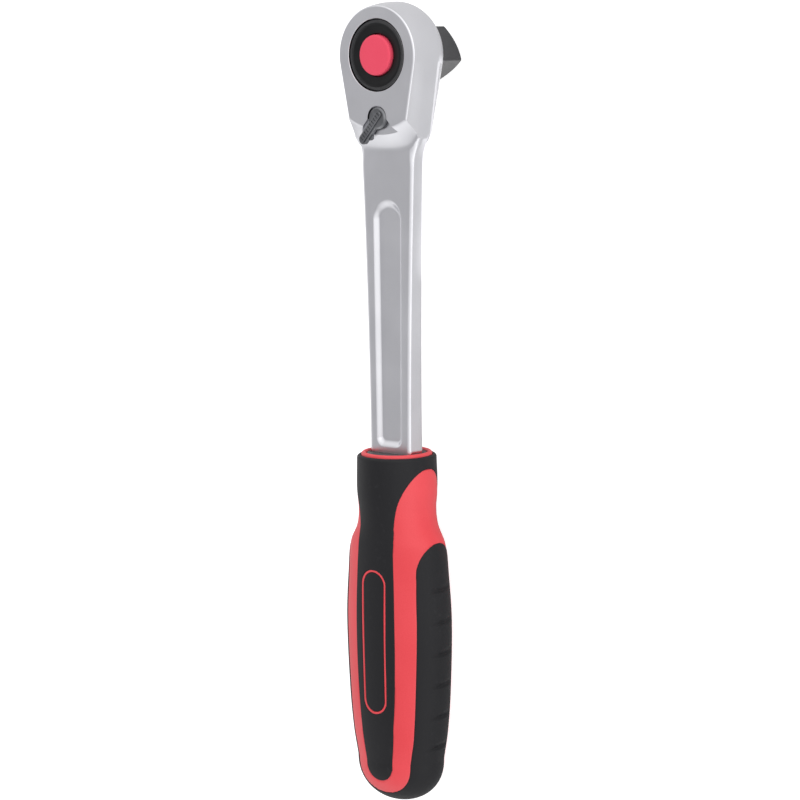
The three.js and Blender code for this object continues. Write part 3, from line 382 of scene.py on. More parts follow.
def slab(outline, bottom, top):
    """A flat outline drawn out from one level to another."""
    bm = bmesh.new()
    face = bm.faces.new([bm.verts.new((x, y, bottom)) for x, y in outline])
    drawn = bmesh.ops.extrude_face_region(bm, geom=[face])
    top_verts = [g for g in drawn["geom"] if isinstance(g, bmesh.types.BMVert)]
    bmesh.ops.translate(bm, verts=top_verts, vec=(0, 0, top - bottom))
    bmesh.ops.recalc_face_normals(bm, faces=bm.faces)
    return bm


def arc(centre_x, radius, start, end, steps):
    turns = [mix(start, end, k / steps) for k in range(steps + 1)]
    return [(centre_x + radius * math.cos(turn), radius * math.sin(turn)) for turn in turns]


def capsule(start, length, head_half, tail_half, steps=24):
    quarter = math.pi / 2
    head = arc(start + head_half, head_half, quarter, 3 * quarter, steps)
    return head + arc(start + length - tail_half, tail_half, -quarter, quarter, steps)


def moved(bm, turn=0.0, x=0.0):
    """Turns a form about Z and then shifts it along the tool."""
    bm.transform(Matrix.Translation((x, 0, 0)) @ Matrix.Rotation(turn, 4, "Z"))
    return bm


def loose_object(bm, name="form"):
    mesh = bpy.data.meshes.new(name)
    bm.to_mesh(mesh)
    bm.free()
    made = bpy.data.objects.new(name, mesh)
    bpy.context.scene.collection.objects.link(made)
    return made


def joined(blank, *steps):
    """Joins forms to a blank, cuts them from it or keeps what they share, in the order given."""
    base = loose_object(blank)
    tools = []
    for operation, form in steps:
        tool = loose_object(form)
        cut = base.modifiers.new(operation, "BOOLEAN")
        cut.operation = operation
        cut.solver = "EXACT"
        cut.object = tool
        tools.append(tool)
    graph = bpy.context.evaluated_depsgraph_get()
    mesh = bpy.data.meshes.new_from_object(base.evaluated_get(graph))
    bm = bmesh.new()
    bm.from_mesh(mesh)
    bpy.data.meshes.remove(mesh)
    for used in [base, *tools]:
        used_mesh = used.data
        bpy.data.objects.remove(used)
        bpy.data.meshes.remove(used_mesh)
    bmesh.ops.remove_doubles(bm, verts=bm.verts, dist=1e-4)
    return bm


def softened(bm, wanted, width, segments=3):
    """Rounds the sharp edges whose two ends are both wanted."""
    sharp = [
        e for e in bm.edges
        if len(e.link_faces) == 2 and e.calc_face_angle() > 0.35 and all(wanted(v.co) for v in e.verts)
    ]
    bmesh.ops.bevel(
        bm, geom=sharp, offset=width, offset_type="OFFSET", segments=segments, profile=0.5, affect="EDGES",
        material=-1, clamp_overlap=True,
    )
    return bm


def fit(name, bm, material, body, nodes, sharp=35, wall=0.0, lift=0.0):
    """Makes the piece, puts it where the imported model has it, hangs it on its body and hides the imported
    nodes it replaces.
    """
    bm.transform(TO_ROW @ Matrix.Translation((0, 0, lift)))
    mesh = bpy.data.meshes.new(name)
    bm.to_mesh(mesh)
    bm.free()
    mesh.shade_smooth()
    mesh.set_sharp_from_angle(angle=math.radians(sharp))
    mesh.materials.append(material)
    piece = bpy.data.objects.new(name, mesh)
    bpy.context.scene.collection.objects.link(piece)
    if wall:
        solid = piece.modifiers.new("wall", "SOLIDIFY")
        solid.thickness = wall * 0.001
        solid.offset = -1
    weighted = piece.modifiers.new("even_light", "WEIGHTED_NORMAL")
    weighted.keep_sharp = True
    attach(piece, body)
    if nodes:
        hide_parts(*nodes)
    return piece


# Materials


class Flow:
    """A value in a node tree. Arithmetic on it adds Math nodes, and node() adds any other node."""

    def __init__(self, tree, socket=None):
        self.tree = tree
        self.socket = socket

    def node(self, kind, settings=None, inputs=None, output=0):
        made = self.tree.nodes.new(kind)
        for name, value in (settings or {}).items():
            if name == "stops":
                ramp = made.color_ramp
                while len(ramp.elements) < len(value):
                    ramp.elements.new(1.0)
                for element, (place, colour) in zip(ramp.elements, value):
                    element.position = place
                    element.color = colour
            else:
                setattr(made, name, value)
        for name, value in (inputs or {}).items():
            if isinstance(value, Flow):
                self.tree.links.new(value.socket, made.inputs[name])
            else:
                made.inputs[name].default_value = value
        return Flow(self.tree, made.outputs[output] if len(made.outputs) else None)

    def maths(self, operation, *values):
        return self.node("ShaderNodeMath", {"operation": operation}, dict(enumerate(values)))

    def __add__(self, other):
        return self.maths("ADD", self, other)

    __radd__ = __add__

    def __mul__(self, other):
        return self.maths("MULTIPLY", self, other)

    __rmul__ = __mul__

    def __sub__(self, other):
        return self.maths("SUBTRACT", self, other)

    def __rsub__(self, other):
        return self.maths("SUBTRACT", other, self)

    def between(self, low, high):
        """0 below low, 1 above high, smooth between."""
        return self.node(
            "ShaderNodeMapRange", {"interpolation_type": "SMOOTHSTEP"},
            {"Value": self, "From Min": low, "From Max": high},
        )

    def blend(self, first, second):
        """The first colour where this is 0 and the second where it is 1."""
        return self.node("ShaderNodeMix", {"data_type": "RGBA"}, {"Factor": self, 6: first, 7: second}, 2)

    def noise(self, scale, detail=2.0, stretch=(1, 1, 1)):
        """Grain of so many bumps a metre on this place, drawn out where stretch is below 1."""
        place = self.node("ShaderNodeMapping", {"vector_type": "POINT"}, {"Vector": self, "Scale": stretch})
        return self.node(
            "ShaderNodeTexNoise", {"noise_dimensions": "3D"},
            {"Vector": place, "Scale": scale, "Detail": detail},
        )


def paint(red, green, blue):
    """A colour written as it looks on a screen, 0 to 255, as the shader needs it."""
    def linear(value):
        value /= 255
        return value / 12.92 if value <= 0.04045 else ((value + 0.055) / 1.055) ** 2.4

    return (linear(red), linear(green), linear(blue), 1.0)


def new_finish(name):
    """An empty material, its shader and the place on the object in metres."""
    material = bpy.data.materials.new(name)
    material.use_nodes = True
    tree = material.node_tree
    shader = next(n for n in tree.nodes if n.type == "BSDF_PRINCIPLED")
    place = Flow(tree).node("ShaderNodeTexCoord", output="Object")
    return material, shader, place


def feed(shader, place, **values):
    for name, value in values.items():
        socket = shader.inputs[name.replace("_", " ")]
        if isinstance(value, Flow):
            place.tree.links.new(value.socket, socket)
        else:
            socket.default_value = value


def raised(place, height, strength, distance):
    return place.node(
        "ShaderNodeBump", None, {"Height": height, "Strength": strength, "Distance": distance}, "Normal"
    )


def chrome(name, rough, grain):
    material, shader, place = new_finish(name)
    cloud = place.noise(60, 3)
    blast = place.noise(5200, 2)
    tone = (cloud * 0.7 + blast * 0.3).between(0.25, 0.75)
    feed(
        shader, place,
        Base_Color=tone.blend(paint(218, 218, 222), paint(228, 228, 232)),
        Metallic=1.0,
        Roughness=rough + cloud * 0.08 + blast * 0.05,
        Normal=raised(place, blast, grain, 0.00002),
    )
    return material


def black_steel():
    material, shader, place = new_finish("dark_steel")
    mottle = place.noise(420, 4)
    pores = place.noise(3800, 2)
    feed(
        shader, place,
        Base_Color=mottle.between(0.3, 0.7).blend(paint(42, 42, 44), paint(52, 52, 54)),
        Metallic=0.1,
        Roughness=0.14 + mottle * 0.06,
        Specular_IOR_Level=0.7,
        Normal=raised(place, pores, 0.02, 0.00001),
    )
    return material


def bezel_black():
    material, shader, place = new_finish("hard_black")
    mottle = place.noise(300, 3)
    grain = place.noise(4200, 2)
    feed(
        shader, place,
        Base_Color=mottle.between(0.3, 0.7).blend(paint(11, 12, 14), paint(16, 17, 19)),
        Roughness=0.3 + mottle * 0.1,
        Specular_IOR_Level=0.3,
        Normal=raised(place, grain, 0.1, 0.00002),
    )
    return material


def gunmetal():
    material, shader, place = new_finish("gunmetal")
    cast = place.noise(1500, 3)
    cloud = place.noise(260, 2)
    feed(
        shader, place,
        Base_Color=cloud.between(0.3, 0.7).blend(paint(116, 117, 120), paint(134, 135, 138)),
        Metallic=1.0,
        Roughness=0.27 + cast * 0.14,
        Normal=raised(place, cast, 0.25, 0.00004),
    )
    return material


def bright_steel():
    material, shader, place = new_finish("bright_steel")
    turning = place.noise(2600, 2, (1, 1, 0.2))
    feed(
        shader, place,
        Base_Color=turning.between(0.3, 0.7).blend(paint(196, 196, 198), paint(214, 214, 216)),
        Metallic=1.0,
        Roughness=0.16 + turning * 0.12,
    )
    return material


def spring_steel():
    material, shader, place = new_finish("spring_steel")
    drawn = place.noise(1800, 3)
    feed(
        shader, place,
        Base_Color=drawn.between(0.3, 0.7).blend(paint(120, 121, 124), paint(148, 149, 152)),
        Metallic=1.0,
        Roughness=0.28 + drawn * 0.14,
    )
    return material


def red_plastic(name, deep, pale, rough, gloss):
    material, shader, place = new_finish(name)
    cloud = place.noise(38, 2)
    spark = place.noise(2600, 3)
    feed(
        shader, place,
        Base_Color=(cloud * 0.7 + spark * 0.3).between(0.3, 0.7).blend(deep, pale),
        Roughness=rough + spark * 0.1,
        Specular_IOR_Level=gloss,
        Normal=raised(place, spark, 0.18, 0.00004),
    )
    return material


def soft_black():
    material, shader, place = new_finish("soft_black")
    cloud = place.noise(30, 3)
    pebble = place.node(
        "ShaderNodeTexVoronoi", {"feature": "F1"},
        {"Vector": place, "Scale": 1500, "Randomness": 1.0}, "Distance",
    )
    dust = place.noise(700, 4).between(0.55, 0.8)
    tone = (cloud * 0.6 + dust * 0.4).between(0.2, 0.8)
    feed(
        shader, place,
        Base_Color=tone.blend(paint(25, 25, 28), paint(35, 35, 38)),
        Roughness=0.5 + cloud * 0.12 + dust * 0.06,
        Specular_IOR_Level=0.28,
        Normal=raised(place, 1 - pebble, 0.22, 0.00005),
    )
    return material


CHROME = chrome("satin_chrome", 0.24, 0.14)
POLISHED = chrome("polished_chrome", 0.13, 0.06)
DARK = black_steel()
BEZEL = bezel_black()
LEVER_METAL = gunmetal()
BRIGHT = bright_steel()
SPRING = spring_steel()
RED = red_plastic("red_plastic", paint(228, 62, 70), paint(236, 74, 82), 0.4, 0.5)
BUTTON_RED = red_plastic("button_red", paint(238, 78, 102), paint(244, 88, 112), 0.4, 0.2)
SOFT = soft_black()


# Head and shank


def barrel_radius(level):
    rim = FACE_RADIUS if level > BELLY_LEVEL else BACK_RADIUS
    rim_level = FACE if level > BELLY_LEVEL else -FACE
    return BELLY_RADIUS - (BELLY_RADIUS - rim) * ((level - BELLY_LEVEL) / (rim_level - BELLY_LEVEL)) ** 2


def shank_half(x):
    along = min(1.0, max(0.0, (x - SHANK_ROOT) / (SHANK_REACH - SHANK_ROOT)))
    flare = min(1.0, max(0.0, 1 - (x - NECK) / FLARE_LENGTH))
    return mix(SHANK_END_HALF, SHANK_ROOT_HALF, (1 - along) ** SHANK_WAIST_POWER) + FLARE * flare ** 2


def shank_thick(x):
    along = min(1.0, max(0.0, (x - RECESS_START) / (SHANK_REACH - RECESS_START)))
    return mix(SHANK_ROOT_THICK, SHANK_END_THICK, along)


def head_levels():
    """(height, inset) from the back to the face, with round edges at both."""
    edge_steps = 5
    wall_steps = 16
    neck_steps = 18
    walls = [mix(-FACE + FACE_EDGE, BACK_FLAT, k / wall_steps) for k in range(wall_steps + 1)]
    walls += [mix(BACK_FLAT, FRONT_FLAT, k / neck_steps) for k in range(1, neck_steps)]
    walls += [mix(FRONT_FLAT, FACE - FACE_EDGE, k / wall_steps) for k in range(wall_steps + 1)]
    rounds = [math.pi / 2 * k / edge_steps for k in range(1, edge_steps + 1)]
    face = [(FACE - FACE_EDGE + FACE_EDGE * math.sin(t), FACE_EDGE * (1 - math.cos(t))) for t in rounds]
    back = [(-height, inset) for height, inset in reversed(face)]
    return back + [(height, 0.0) for height in walls] + face


def slope_fall(share):
    """How far along the slope a level lies: nearly straight, with a hollow foot."""
    hollow = 0.3
    return (1 - hollow) * share + hollow * (1 - math.sqrt(max(0.0, 1 - share ** 2)))


def head_blank():
    levels = head_levels()
    arc_steps = 110
    foot_steps = 40
    around = arc_steps + foot_steps + 1

    def point(u, v):
        height, inset = levels[round(u * (len(levels) - 1))]
        front = height > 0
        share = (FACE - abs(height)) / (FACE - FRONT_FLAT if front else BACK_FLAT + FACE)
        fall = slope_fall(min(1.0, share))
        shoulder = SHOULDER_RADIUS if front else BACK_SHOULDER_RADIUS
        shoulder_half = SHOULDER_HALF if front else BACK_SHOULDER_HALF
        corner_half = mix(shoulder_half, NECK_HALF, smooth(0, 1, share)) - inset
        under = smooth(0, NECK_BLEND, min(FRONT_FLAT - height, height - BACK_FLAT))

        def foot(y):
            slope_foot = mix(SLOPE_END, NECK, (abs(y) / NECK_HALF) ** SLOPE_FOOT_POWER)
            reach = mix(math.sqrt(shoulder ** 2 - y ** 2), slope_foot, fall)
            return mix(reach, NECK, under) - inset

        radius = barrel_radius(height) - inset
        corner_x = foot(corner_half)
        touch = math.atan2(corner_half, corner_x) + math.acos(radius / math.hypot(corner_x, corner_half))
        step = round(v * around) % around
        if step <= arc_steps:
            angle = mix(touch, FULL_TURN - touch, step / arc_steps)
            return Vector((radius * math.cos(angle), radius * math.sin(angle), height))
        y = mix(-corner_half, corner_half, (step - arc_steps - 1) / (foot_steps - 1))
        return Vector((foot(y), y, height))

    return capped(draped(len(levels) - 1, around, point))


def shank_blank():
    neck_steps = 16
    plain = [38.0, 41.0]
    recess_steps = 20
    places = [SHANK_START] + [mix(NECK, NECK_EDGE_END, k / neck_steps) for k in range(neck_steps + 1)] + plain
    places += [mix(RECESS_START, SHANK_END, k / recess_steps) for k in range(recess_steps + 1)]
    corner_steps = 8
    around = 4 * (corner_steps + 1)

    def point(u, v):
        x = places[round(u * (len(places) - 1))]
        half = shank_half(x)
        thick = shank_thick(x)
        step = round(v * around) % around
        corner = step // (corner_steps + 1)
        angle = (corner + (step % (corner_steps + 1)) / corner_steps) * math.pi / 2
        side = 1 if corner in (0, 3) else -1
        level = 1 if corner < 2 else -1
        neck_edge = NECK_EDGE if level > 0 else SHANK_EDGE
        edge = mix(neck_edge, SHANK_EDGE, smooth(NECK, NECK_EDGE_END, x))
        y = side * (half - edge) + edge * math.cos(angle)
        return Vector((x, y, SHANK_LIFT + level * (thick - edge) + edge * math.sin(angle)))

    return capped(draped(len(places) - 1, around, point))


def recess_loop(shrink):
    """The recess in plan: a round end at the head and a straight one at the handle."""
    head_steps = 28
    corner_steps = 6
    middle = RECESS_START + RECESS_HEAD_HALF + RECESS_HEAD_SHIFT
    along = RECESS_HEAD_HALF - shrink * RECESS_HEAD_RAMP
    across = RECESS_HEAD_HALF - shrink
    turns = [mix(0.5, 1.5, k / head_steps) * math.pi for k in range(head_steps + 1)]
    head = [(middle + along * math.cos(t), across * math.sin(t)) for t in turns]
    tail = RECESS_START + RECESS_LENGTH - shrink * RECESS_TAIL_RAMP
    corner = max(RECESS_LEAST_CORNER, RECESS_CORNER - shrink)
    half = RECESS_TAIL_HALF - shrink - corner
    turns = [math.pi / 2 * k / corner_steps for k in range(corner_steps + 1)]
    low = [(tail - corner + corner * math.sin(t), -half - corner * math.cos(t)) for t in turns]
    return head + low + [(x, -y) for x, y in reversed(low)]


def recess_cut(side):
    """The long recess with soft walls that roll into its floor and out onto the flat."""
    wall_steps = 10
    over = 0.03
    loops = []
    for k in range(wall_steps + 1):
        shrink = mix(RECESS_WALL, -RECESS_WALL, k / wall_steps)
        loops.append((recess_loop(shrink), (RECESS_DEPTH + over) * smooth(0, wall_steps, k) - RECESS_DEPTH))
    loops.append((loops[-1][0], RECESS_DEPTH))
    count = len(loops[0][0])

    def point(u, v):
        loop, rise = loops[round(u * (len(loops) - 1))]
        x, y = loop[round(v * count) % count]
        along = (x - RECESS_START) / (SHANK_REACH - RECESS_START)
        return Vector((x, y, SHANK_LIFT + side * (mix(SHANK_ROOT_THICK, SHANK_END_THICK, along) + rise)))

    return capped(draped(len(loops) - 1, count, point))


def chamber_cut():
    groove = CHAMBER_RADIUS + RING_GROOVE
    groove_end = RING_BOTTOM - GAP
    return turned([
        (0, FACE + OVER), (OPENING_RADIUS, FACE + OVER), (OPENING_RADIUS, CHAMBER_TOP),
        (CHAMBER_RADIUS, CHAMBER_TOP), (CHAMBER_RADIUS, COVER_BOTTOM), (groove, COVER_BOTTOM),
        (groove, groove_end), (CHAMBER_RADIUS, groove_end), (CHAMBER_RADIUS, -FACE - OVER), (0, -FACE - OVER),
    ], 128)


def pocket_cuts():
    sweep = [(0, 0)] + arc(0, POCKET_RADIUS, -POCKET_HALF_ANGLE, POCKET_HALF_ANGLE, 32)
    swing = arc(0, PAWL_SWING_ROOM, math.pi / 2, 1.5 * math.pi, 24)
    return [
        slab(sweep, GEAR_BOTTOM, CHAMBER_TOP),
        moved(rod(SHAFT_ROOM, GEAR_BOTTOM, CHAMBER_TOP), x=LEVER_PIVOT),
        moved(slab(swing, GEAR_BOTTOM, CHAMBER_TOP), x=LEVER_PIVOT),
    ]


def lever_seat_cuts():
    """The bore of the lever's shaft, the seat of its disc and the fan that its tab swings in."""
    reach = LEVER_REACH + 2 * LEVER_HALF
    half = LEVER_HALF + SEAT_SIDE_ROOM
    run = math.cos(LEVER_SWING)
    rise = math.sin(LEVER_SWING)
    low_side = [(-half * rise, -half * run), (reach * run - half * rise, -reach * rise - half * run)]
    high_side = [(x, -y) for x, y in reversed(low_side)]
    fan = low_side + arc(0, reach, -LEVER_SWING, LEVER_SWING, 32) + high_side
    return [
        moved(rod(LEVER_SHAFT + GAP, SHAFT_END - GAP, SEAT_FLOOR + OVER), x=LEVER_PIVOT),
        moved(rod(LEVER_DISC + DISC_SEAT_ROOM, SEAT_FLOOR - DISC_SEAT_DROP, FACE + OVER), x=LEVER_PIVOT),
        moved(slab(fan, SEAT_FLOOR, FACE + OVER), x=LEVER_PIVOT),
    ]


def head_and_shank():
    """The forging, satin on its flats and polished on its sides."""
    cuts = [chamber_cut(), *pocket_cuts(), *lever_seat_cuts(), recess_cut(1), recess_cut(-1)]
    bm = joined(head_blank(), ("UNION", shank_blank()), *[("DIFFERENCE", cut) for cut in cuts])
    near = 0.02

    def opening(co):
        return abs(math.hypot(co.x, co.y) - OPENING_RADIUS) < near and abs(co.z - FACE) < near

    softened(bm, opening, OPENING_EDGE)
    piece = fit("ratchet_body_form", bm, CHROME, "body", ["ratchet_body"], sharp=30)
    piece.data.materials.append(POLISHED)
    for side in piece.data.polygons:
        if abs(side.normal.z) < POLISHED_STEEPNESS:
            side.material_index = 1
    return piece


# Drive


def drive_square():
    """The square, its upright edges rounded and its end falling away to the corners."""
    half = DRIVE_HALF
    square = slab([(half, -half), (half, half), (-half, half), (-half, -half)], DRIVE_END, GEAR_BOTTOM)
    upright = [e for e in square.edges if abs(e.verts[0].co.z - e.verts[1].co.z) > 1]
    bmesh.ops.bevel(
        square, geom=upright, offset=DRIVE_SIDE_EDGE, offset_type="OFFSET", segments=4, profile=0.5,
        affect="EDGES", material=-1,
    )
    crown_steps = 6
    crown = [mix(DRIVE_END_FLAT, JOURNAL_RADIUS, k / crown_steps) for k in range(crown_steps + 1)]
    fall = DRIVE_CROWN / (DRIVE_CORNER - DRIVE_END_FLAT) ** DRIVE_CROWN_POWER
    end = [(radius, DRIVE_END + fall * (radius - DRIVE_END_FLAT) ** DRIVE_CROWN_POWER) for radius in crown]
    envelope = turned([(0, DRIVE_END), *end, (JOURNAL_RADIUS, GEAR_BOTTOM), (0, GEAR_BOTTOM)], 128)
    return joined(square, ("INTERSECT", envelope))


def drive():
    """Gear, hub, journal and square in one piece, with the button's well and the ball's hole."""
    core = turned([
        (0, -FACE), (JOURNAL_RADIUS - JOURNAL_CHAMFER, -FACE), (JOURNAL_RADIUS, -FACE + JOURNAL_CHAMFER),
        (JOURNAL_RADIUS, GEAR_BOTTOM), (HUB_RADIUS, GEAR_BOTTOM), (HUB_RADIUS, HUB_TOP - HUB_CHAMFER),
        (HUB_RADIUS - HUB_CHAMFER, HUB_TOP), (0, HUB_TOP),
    ], 128)
    teeth = []
    for k in range(2 * GEAR_TEETH):
        radius = GEAR_ROOT if k % 2 else GEAR_TIP
        turn = math.pi * k / GEAR_TEETH
        teeth.append((radius * math.cos(turn), radius * math.sin(turn)))
    seat = BEZEL_RADIUS + GAP
    ledge = BEZEL_BOTTOM - GAP
    well = turned([
        (0, HUB_TOP + OVER), (seat, HUB_TOP + OVER), (seat, ledge), (WELL_RADIUS, ledge),
        (WELL_RADIUS, WELL_FLOOR), (PIN_BORE, WELL_FLOOR), (PIN_BORE, PIN_BORE_END), (0, PIN_BORE_END),
    ])
    ball_hole = rod(BALL_RADIUS + GAP, 0, 2 * DRIVE_HALF)
    ball_hole.transform(Matrix.Translation((0, 0, BALL_LEVEL)) @ Matrix.Rotation(math.pi / 2, 4, "X"))
    bm = joined(
        core, ("UNION", slab(teeth, GEAR_BOTTOM, GEAR_TOP)), ("UNION", drive_square()), ("DIFFERENCE", well),
        ("DIFFERENCE", ball_hole),
    )
    end_depth = 2.8
    past_flat = 0.5

    def square_end(co):
        return co.z < DRIVE_END + end_depth and math.hypot(co.x, co.y) > DRIVE_END_FLAT + past_flat

    softened(bm, square_end, DRIVE_END_EDGE)
    return fit("drive_form", moved(bm, DRIVE_TURN), DARK, "drive", ["drive_gear"], sharp=30)


def bezel():
    inner = BUTTON_RADIUS + GAP
    foot = [(inner, BEZEL_BOTTOM), (BEZEL_RADIUS, BEZEL_BOTTOM), (BEZEL_RADIUS, HUB_TOP - BEZEL_STEP)]
    dish = [(BEZEL_RADIUS + out, HUB_TOP - drop) for out, drop in BEZEL_DISH]
    edge = [(inner + out, HUB_TOP - drop) for out, drop in BEZEL_INNER_EDGE]
    bm = turned(foot + dish + edge, 128)
    return fit("hub_bezel_form", bm, BEZEL, "drive", ["hub_bezel"], sharp=50)


def button():
    edge = BUTTON_EDGE
    edge_steps = 6
    cap = [(radius, BUTTON_TOP - drop) for radius, drop in BUTTON_CROWN]
    for k in range(edge_steps + 1):
        turn = math.pi / 2 * k / edge_steps
        height = BUTTON_TOP - BUTTON_CROWN_DROP - edge * (1 - math.cos(turn))
        cap.append((BUTTON_RADIUS - edge + edge * math.sin(turn), height))
    skirt = [
        (BUTTON_RADIUS, SKIRT_TOP), (SKIRT_RADIUS, SKIRT_TOP), (SKIRT_RADIUS, SKIRT_BOTTOM),
        (SPRING_CUP_RADIUS, SKIRT_BOTTOM), (SPRING_CUP_RADIUS, SPRING_CUP_TOP),
        (PIN_SOCKET_RADIUS, SPRING_CUP_TOP), (PIN_SOCKET_RADIUS, PIN_SOCKET_TOP), (0, PIN_SOCKET_TOP),
    ]
    bm = turned(cap + skirt, 112)
    return fit("release_button_form", bm, BUTTON_RED, "button", ["release_button"], sharp=40)


def ball():
    bm = bmesh.new()
    bmesh.ops.create_icosphere(bm, subdivisions=4, radius=BALL_RADIUS)
    bmesh.ops.translate(bm, verts=bm.verts, vec=(BALL_CENTRE, 0, BALL_LEVEL))
    return fit("detent_ball_form", moved(bm, BALL_TURN), BRIGHT, "ball", ["detent_ball"])


def cover():
    inner = JOURNAL_RADIUS + GAP
    outer = CHAMBER_RADIUS - GAP
    edge_top = COVER_BOTTOM + COVER_EDGE
    seal_floor = COVER_TOP - SEAL_SEAT_DEPTH
    bm = turned([
        (inner + COVER_EDGE, COVER_BOTTOM), (outer - COVER_EDGE, COVER_BOTTOM), (outer, edge_top),
        (outer, COVER_TOP), (SEAL_SEAT_RADIUS, COVER_TOP), (SEAL_SEAT_RADIUS, seal_floor),
        (inner, seal_floor), (inner, edge_top),
    ], 112)
    return fit("back_cover_form", bm, DARK, "body", ["back_cover"], sharp=50)


def cover_ring():
    outer = CHAMBER_RADIUS + RING_SPREAD
    inner = outer - RING_WIDTH
    edge = RING_EDGE
    outline = [
        (inner, RING_BOTTOM + edge), (inner + edge, RING_BOTTOM),
        (outer - edge, RING_BOTTOM), (outer, RING_BOTTOM + edge),
        (outer, RING_TOP - edge), (outer - edge, RING_TOP),
        (inner + edge, RING_TOP), (inner, RING_TOP - edge),
    ]
    bm = bmesh.new()
    face = bm.faces.new([bm.verts.new((radius, 0, height)) for radius, height in outline])
    bmesh.ops.spin(
        bm, geom=[face, *face.edges, *face.verts], axis=(0, 0, 1), cent=(0, 0, 0), dvec=(0, 0, 0),
        angle=FULL_TURN - RING_MOUTH, steps=96, use_merge=False,
    )
    bmesh.ops.recalc_face_normals(bm, faces=bm.faces)
    bm = moved(bm, math.pi + RING_MOUTH / 2)
    return fit("cover_snap_ring_form", bm, SPRING, "body", ["cover_snap_ring"], sharp=50)


# Reverse lever


def lever():
    shaft = turned([
        (0, SHAFT_END), (LEVER_SHAFT - SHAFT_CHAMFER, SHAFT_END), (LEVER_SHAFT, SHAFT_END + SHAFT_CHAMFER),
        (LEVER_SHAFT, SNAP_SEAT_BOTTOM), (SNAP_SEAT_RADIUS, SNAP_SEAT_BOTTOM),
        (SNAP_SEAT_RADIUS, SNAP_SEAT_TOP), (LEVER_SHAFT, SNAP_SEAT_TOP),
        (LEVER_SHAFT, LEVER_BOTTOM), (LEVER_DISC, LEVER_BOTTOM),
        (LEVER_DISC, LEVER_TOP - LEVER_DISC_DROP), (LEVER_DISC - LEVER_DISC_EDGE, LEVER_TOP), (0, LEVER_TOP),
    ], 72)
    near = 0.1
    tab_plan = capsule(-LEVER_HALF, LEVER_REACH + LEVER_HALF, LEVER_HALF, LEVER_HALF)
    tab = slab(tab_plan, LEVER_BOTTOM, LEVER_TOP)
    softened(tab, lambda co: co.z > LEVER_TOP - near, TAB_EDGE)
    rib = slab(capsule(RIB_START, RIB_LENGTH, RIB_HALF, RIB_HALF), LEVER_TOP - RIB_DEPTH, RIB_TOP)
    softened(rib, lambda co: co.z > RIB_TOP - near, RIB_EDGE)
    nub = slab(capsule(NUB_START, NUB_LENGTH, NUB_HALF, NUB_HALF, 10), LEVER_BOTTOM, LEVER_TOP - NUB_DROP)
    nub.transform(Matrix.Translation((0, LEVER_HALF, 0)))
    bore = rod(PLUNGER_BORE, PLUNGER_BORE_START, 2 * LEVER_SHAFT, 32)
    bore.transform(Matrix.Translation((0, 0, PLUNGER_LEVEL)) @ Matrix.Rotation(-math.pi / 2, 4, "Y"))
    ridges = []
    for k in range(RIDGE_COUNT):
        middle = RIDGE_FIRST + RIDGE_PITCH * k
        low = middle - RIDGE_HALF
        high = middle + RIDGE_HALF
        plan = [(low, -RIDGE_REACH), (high, -RIDGE_REACH), (high, RIDGE_REACH), (low, RIDGE_REACH)]
        ridges.append(("DIFFERENCE", slab(plan, RIB_TOP - RIDGE_DEPTH, RIB_TOP + 1)))
    bm = joined(shaft, ("UNION", tab), ("UNION", rib), ("UNION", nub), ("DIFFERENCE", bore), *ridges)
    bm = moved(bm, LEVER_TURN, LEVER_PIVOT)
    return fit("reverse_lever_form", bm, LEVER_METAL, "lever", ["reverse_lever"], sharp=35)


# Handle


def handle_half(x):
    """Half-width and half-depth of the handle, drawn in towards the round butt."""
    past = min(1.0, max(0.0, (x - HEEL) / (BUTT - HEEL)))
    taper = math.sqrt(max(0.0, 1 - past ** BUTT_POWER))
    wide = smooth_through([(s[0], s[1]) for s in HANDLE_STATIONS], x)
    deep = smooth_through([(s[0], s[2]) for s in HANDLE_STATIONS], x)
    return max(1e-4, wide * taper), max(1e-4, deep * taper)


def on_handle(x, angle, lift):
    """The point of the handle's surface at a place and an angle round it, lifted along its normal."""
    wide, deep = handle_half(x)
    step = 0.02
    wide_next, deep_next = handle_half(min(BUTT, x + step))
    wide_last, deep_last = handle_half(min(BUTT, x + step) - 2 * step)
    y = wide * math.cos(angle)
    z = deep * math.sin(angle)
    wide_slope = (wide_next - wide_last) / (2 * step)
    deep_slope = (deep_next - deep_last) / (2 * step)
    lean = -(math.cos(angle) ** 2 * wide_slope / wide + math.sin(angle) ** 2 * deep_slope / deep)
    normal = Vector((lean, y / wide ** 2, z / deep ** 2)).normalized()
    return Vector((x, y, z)) + lift * normal


def even(share):
    return share


def closer_at_start(power):
    return lambda share: share ** power


def closer_at_end(power):
    return lambda share: math.sin(share * math.pi / 2) ** power


def placed(share, start, *stretches):
    """A place along the handle. Each stretch runs to a share of the rows and a place, in its own spacing."""
    share_before = 0.0
    for share_end, end, spacing in stretches:
        if share < share_end or share_end == 1:
            return mix(start, end, spacing((share - share_before) / (share_end - share_before)))
        share_before = share_end
        start = end


def handle_place(share):
    return placed(share, COLLAR, (0.86, HEEL, even), (1, BUTT, closer_at_end(2 / BUTT_POWER)))


def sleeve_place(share):
    """Closer at the collar's rim, at the arch and at the end of the tongue."""
    return placed(
        share, COLLAR, (0.08, COLLAR + COLLAR_RIM, closer_at_start(1.5)), (0.12, WINDOW_START, even),
        (0.3, WINDOW_START + WINDOW_ARCH, closer_at_start(2)), (0.88, TONGUE_ROUND, even),
        (1, TONGUE_END, closer_at_end(1)),
    )


def saddle_place(share):
    return placed(
        share, SADDLE_START, (0.12, SADDLE_START + SADDLE_ARCH, closer_at_start(2)), (0.86, HEEL, even),
        (1, BUTT, closer_at_end(2 / BUTT_POWER)),
    )


